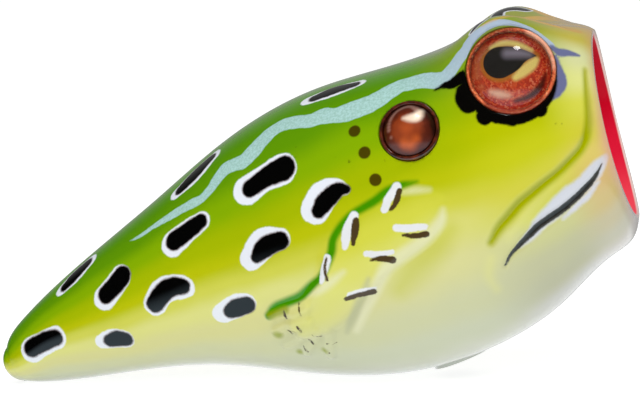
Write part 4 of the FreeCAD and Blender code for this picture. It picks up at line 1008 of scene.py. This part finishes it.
# The room is white to the camera, softly lit, and mirrored with a dim wall and a slate-blue table edge.
world = bpy.data.worlds.new("white_room")
bpy.context.scene.world = world
world.use_nodes = True
tree = world.node_tree
tree.nodes.clear()
white = (1, 1, 1, 1)
rays = add(tree, "LightPath").outputs
aim = add(tree, "SeparateXYZ", {0: add(tree, "TexCoord").outputs["Generated"]}).outputs
levels = {}
for name, way, start, end, least, most in (
        ("wall", "Y", 0.45, 1.05, 0.0, 0.35), ("table", "Z", -0.16, -0.34, 0.0, 1.15),
        ("beyond", "Y", 0.6, 0.95, 0.22, 1.0)):
    levels[name] = add(tree, "MapRange", {"Value": aim[way], "From Min": start, "From Max": end,
                                          "To Min": least, "To Max": most},
                       interpolation_type="SMOOTHSTEP").outputs[0]
outward = add(tree, "MapRange", {"Value": aim["Y"], "From Min": 0.0, "From Max": 0.6}).outputs[0]
slate = add(tree, "Mix", {"Factor": outward, 6: (0.66, 0.87, 1.0, 1), 7: (0.62, 0.65, 0.66, 1)},
            data_type="RGBA").outputs[2]
wall = add(tree, "Background", {"Color": white, "Strength": levels["wall"]}).outputs[0]
table = add(tree, "Background", {"Color": slate, "Strength": levels["table"]}).outputs[0]
mirrored = add(tree, "AddShader", {0: wall, 1: table}).outputs[0]
refracted = add(tree, "Background", {"Color": white, "Strength": levels["beyond"]}).outputs[0]
seen = add(tree, "Background", {"Color": white, "Strength": 1.0}).outputs[0]
room = add(tree, "Background", {"Color": white, "Strength": 0.5}).outputs[0]
for ray, found in (("Is Glossy Ray", mirrored), ("Is Transmission Ray", refracted), ("Is Camera Ray", seen)):
    room = add(tree, "MixShader", {"Fac": rays[ray], 1: room, 2: found}).outputs[0]
add(tree, "OutputWorld", {"Surface": room})


def way_to(azimuth, elevation):
    """Direction from the bait to something this many degrees round to the right and up."""
    turn, lift = math.radians(azimuth), math.radians(elevation)
    return Vector((math.sin(turn) * math.cos(lift), -math.cos(turn) * math.cos(lift), math.sin(lift)))


middle = Vector(((cad_box[0].x + cad_box[1].x) / 2, 0, (cad_box[0].z + cad_box[1].z) / 2))
for name, azimuth, elevation, size, watts, mirrors in (
        ("key_softbox", 25, 55, 0.3, 1.1, False), ("fill_softbox", -40, 25, 0.4, 0.5, False),
        ("window_softbox", 50, 75, 0.08, 0.3, True)):
    lamp = bpy.data.lights.new(name, "AREA")
    lamp.shape, lamp.size, lamp.energy = "SQUARE", size, watts
    made = bpy.data.objects.new(name, lamp)
    bpy.context.scene.collection.objects.link(made)
    made.location = middle + way_to(azimuth, elevation) * 0.5
    made.rotation_euler = way_to(azimuth, elevation).to_track_quat("Z", "Y").to_euler()
    made.visible_glossy = mirrors
    made.visible_transmission = False

camera = bpy.data.objects.new("camera", bpy.data.cameras.new("camera"))
bpy.context.scene.collection.objects.link(camera)
bpy.context.scene.camera = camera
camera.data.lens, camera.data.sensor_width = 200.0, 36.0
camera.data.shift_x, camera.data.shift_y = 0.0086, -0.0086
camera.data.clip_start, camera.data.clip_end = 0.02, 20.0
AZIMUTH, ELEVATION, ROLL, AWAY = 8.0, 6.0, 2.375, 0.356
back = way_to(AZIMUTH, ELEVATION)
right = Vector((math.cos(math.radians(AZIMUTH)), math.sin(math.radians(AZIMUTH)), 0))
facing = Matrix((right, back.cross(right), back)).transposed().to_4x4()
aim_point = middle + Vector((0.12, 0, 0.259)) * MM
camera.matrix_world = (Matrix.Translation(aim_point + back * AWAY) @ facing
                       @ Matrix.Rotation(-math.radians(ROLL), 4, "Z"))

bpy.context.scene.view_settings.view_transform = "Standard"
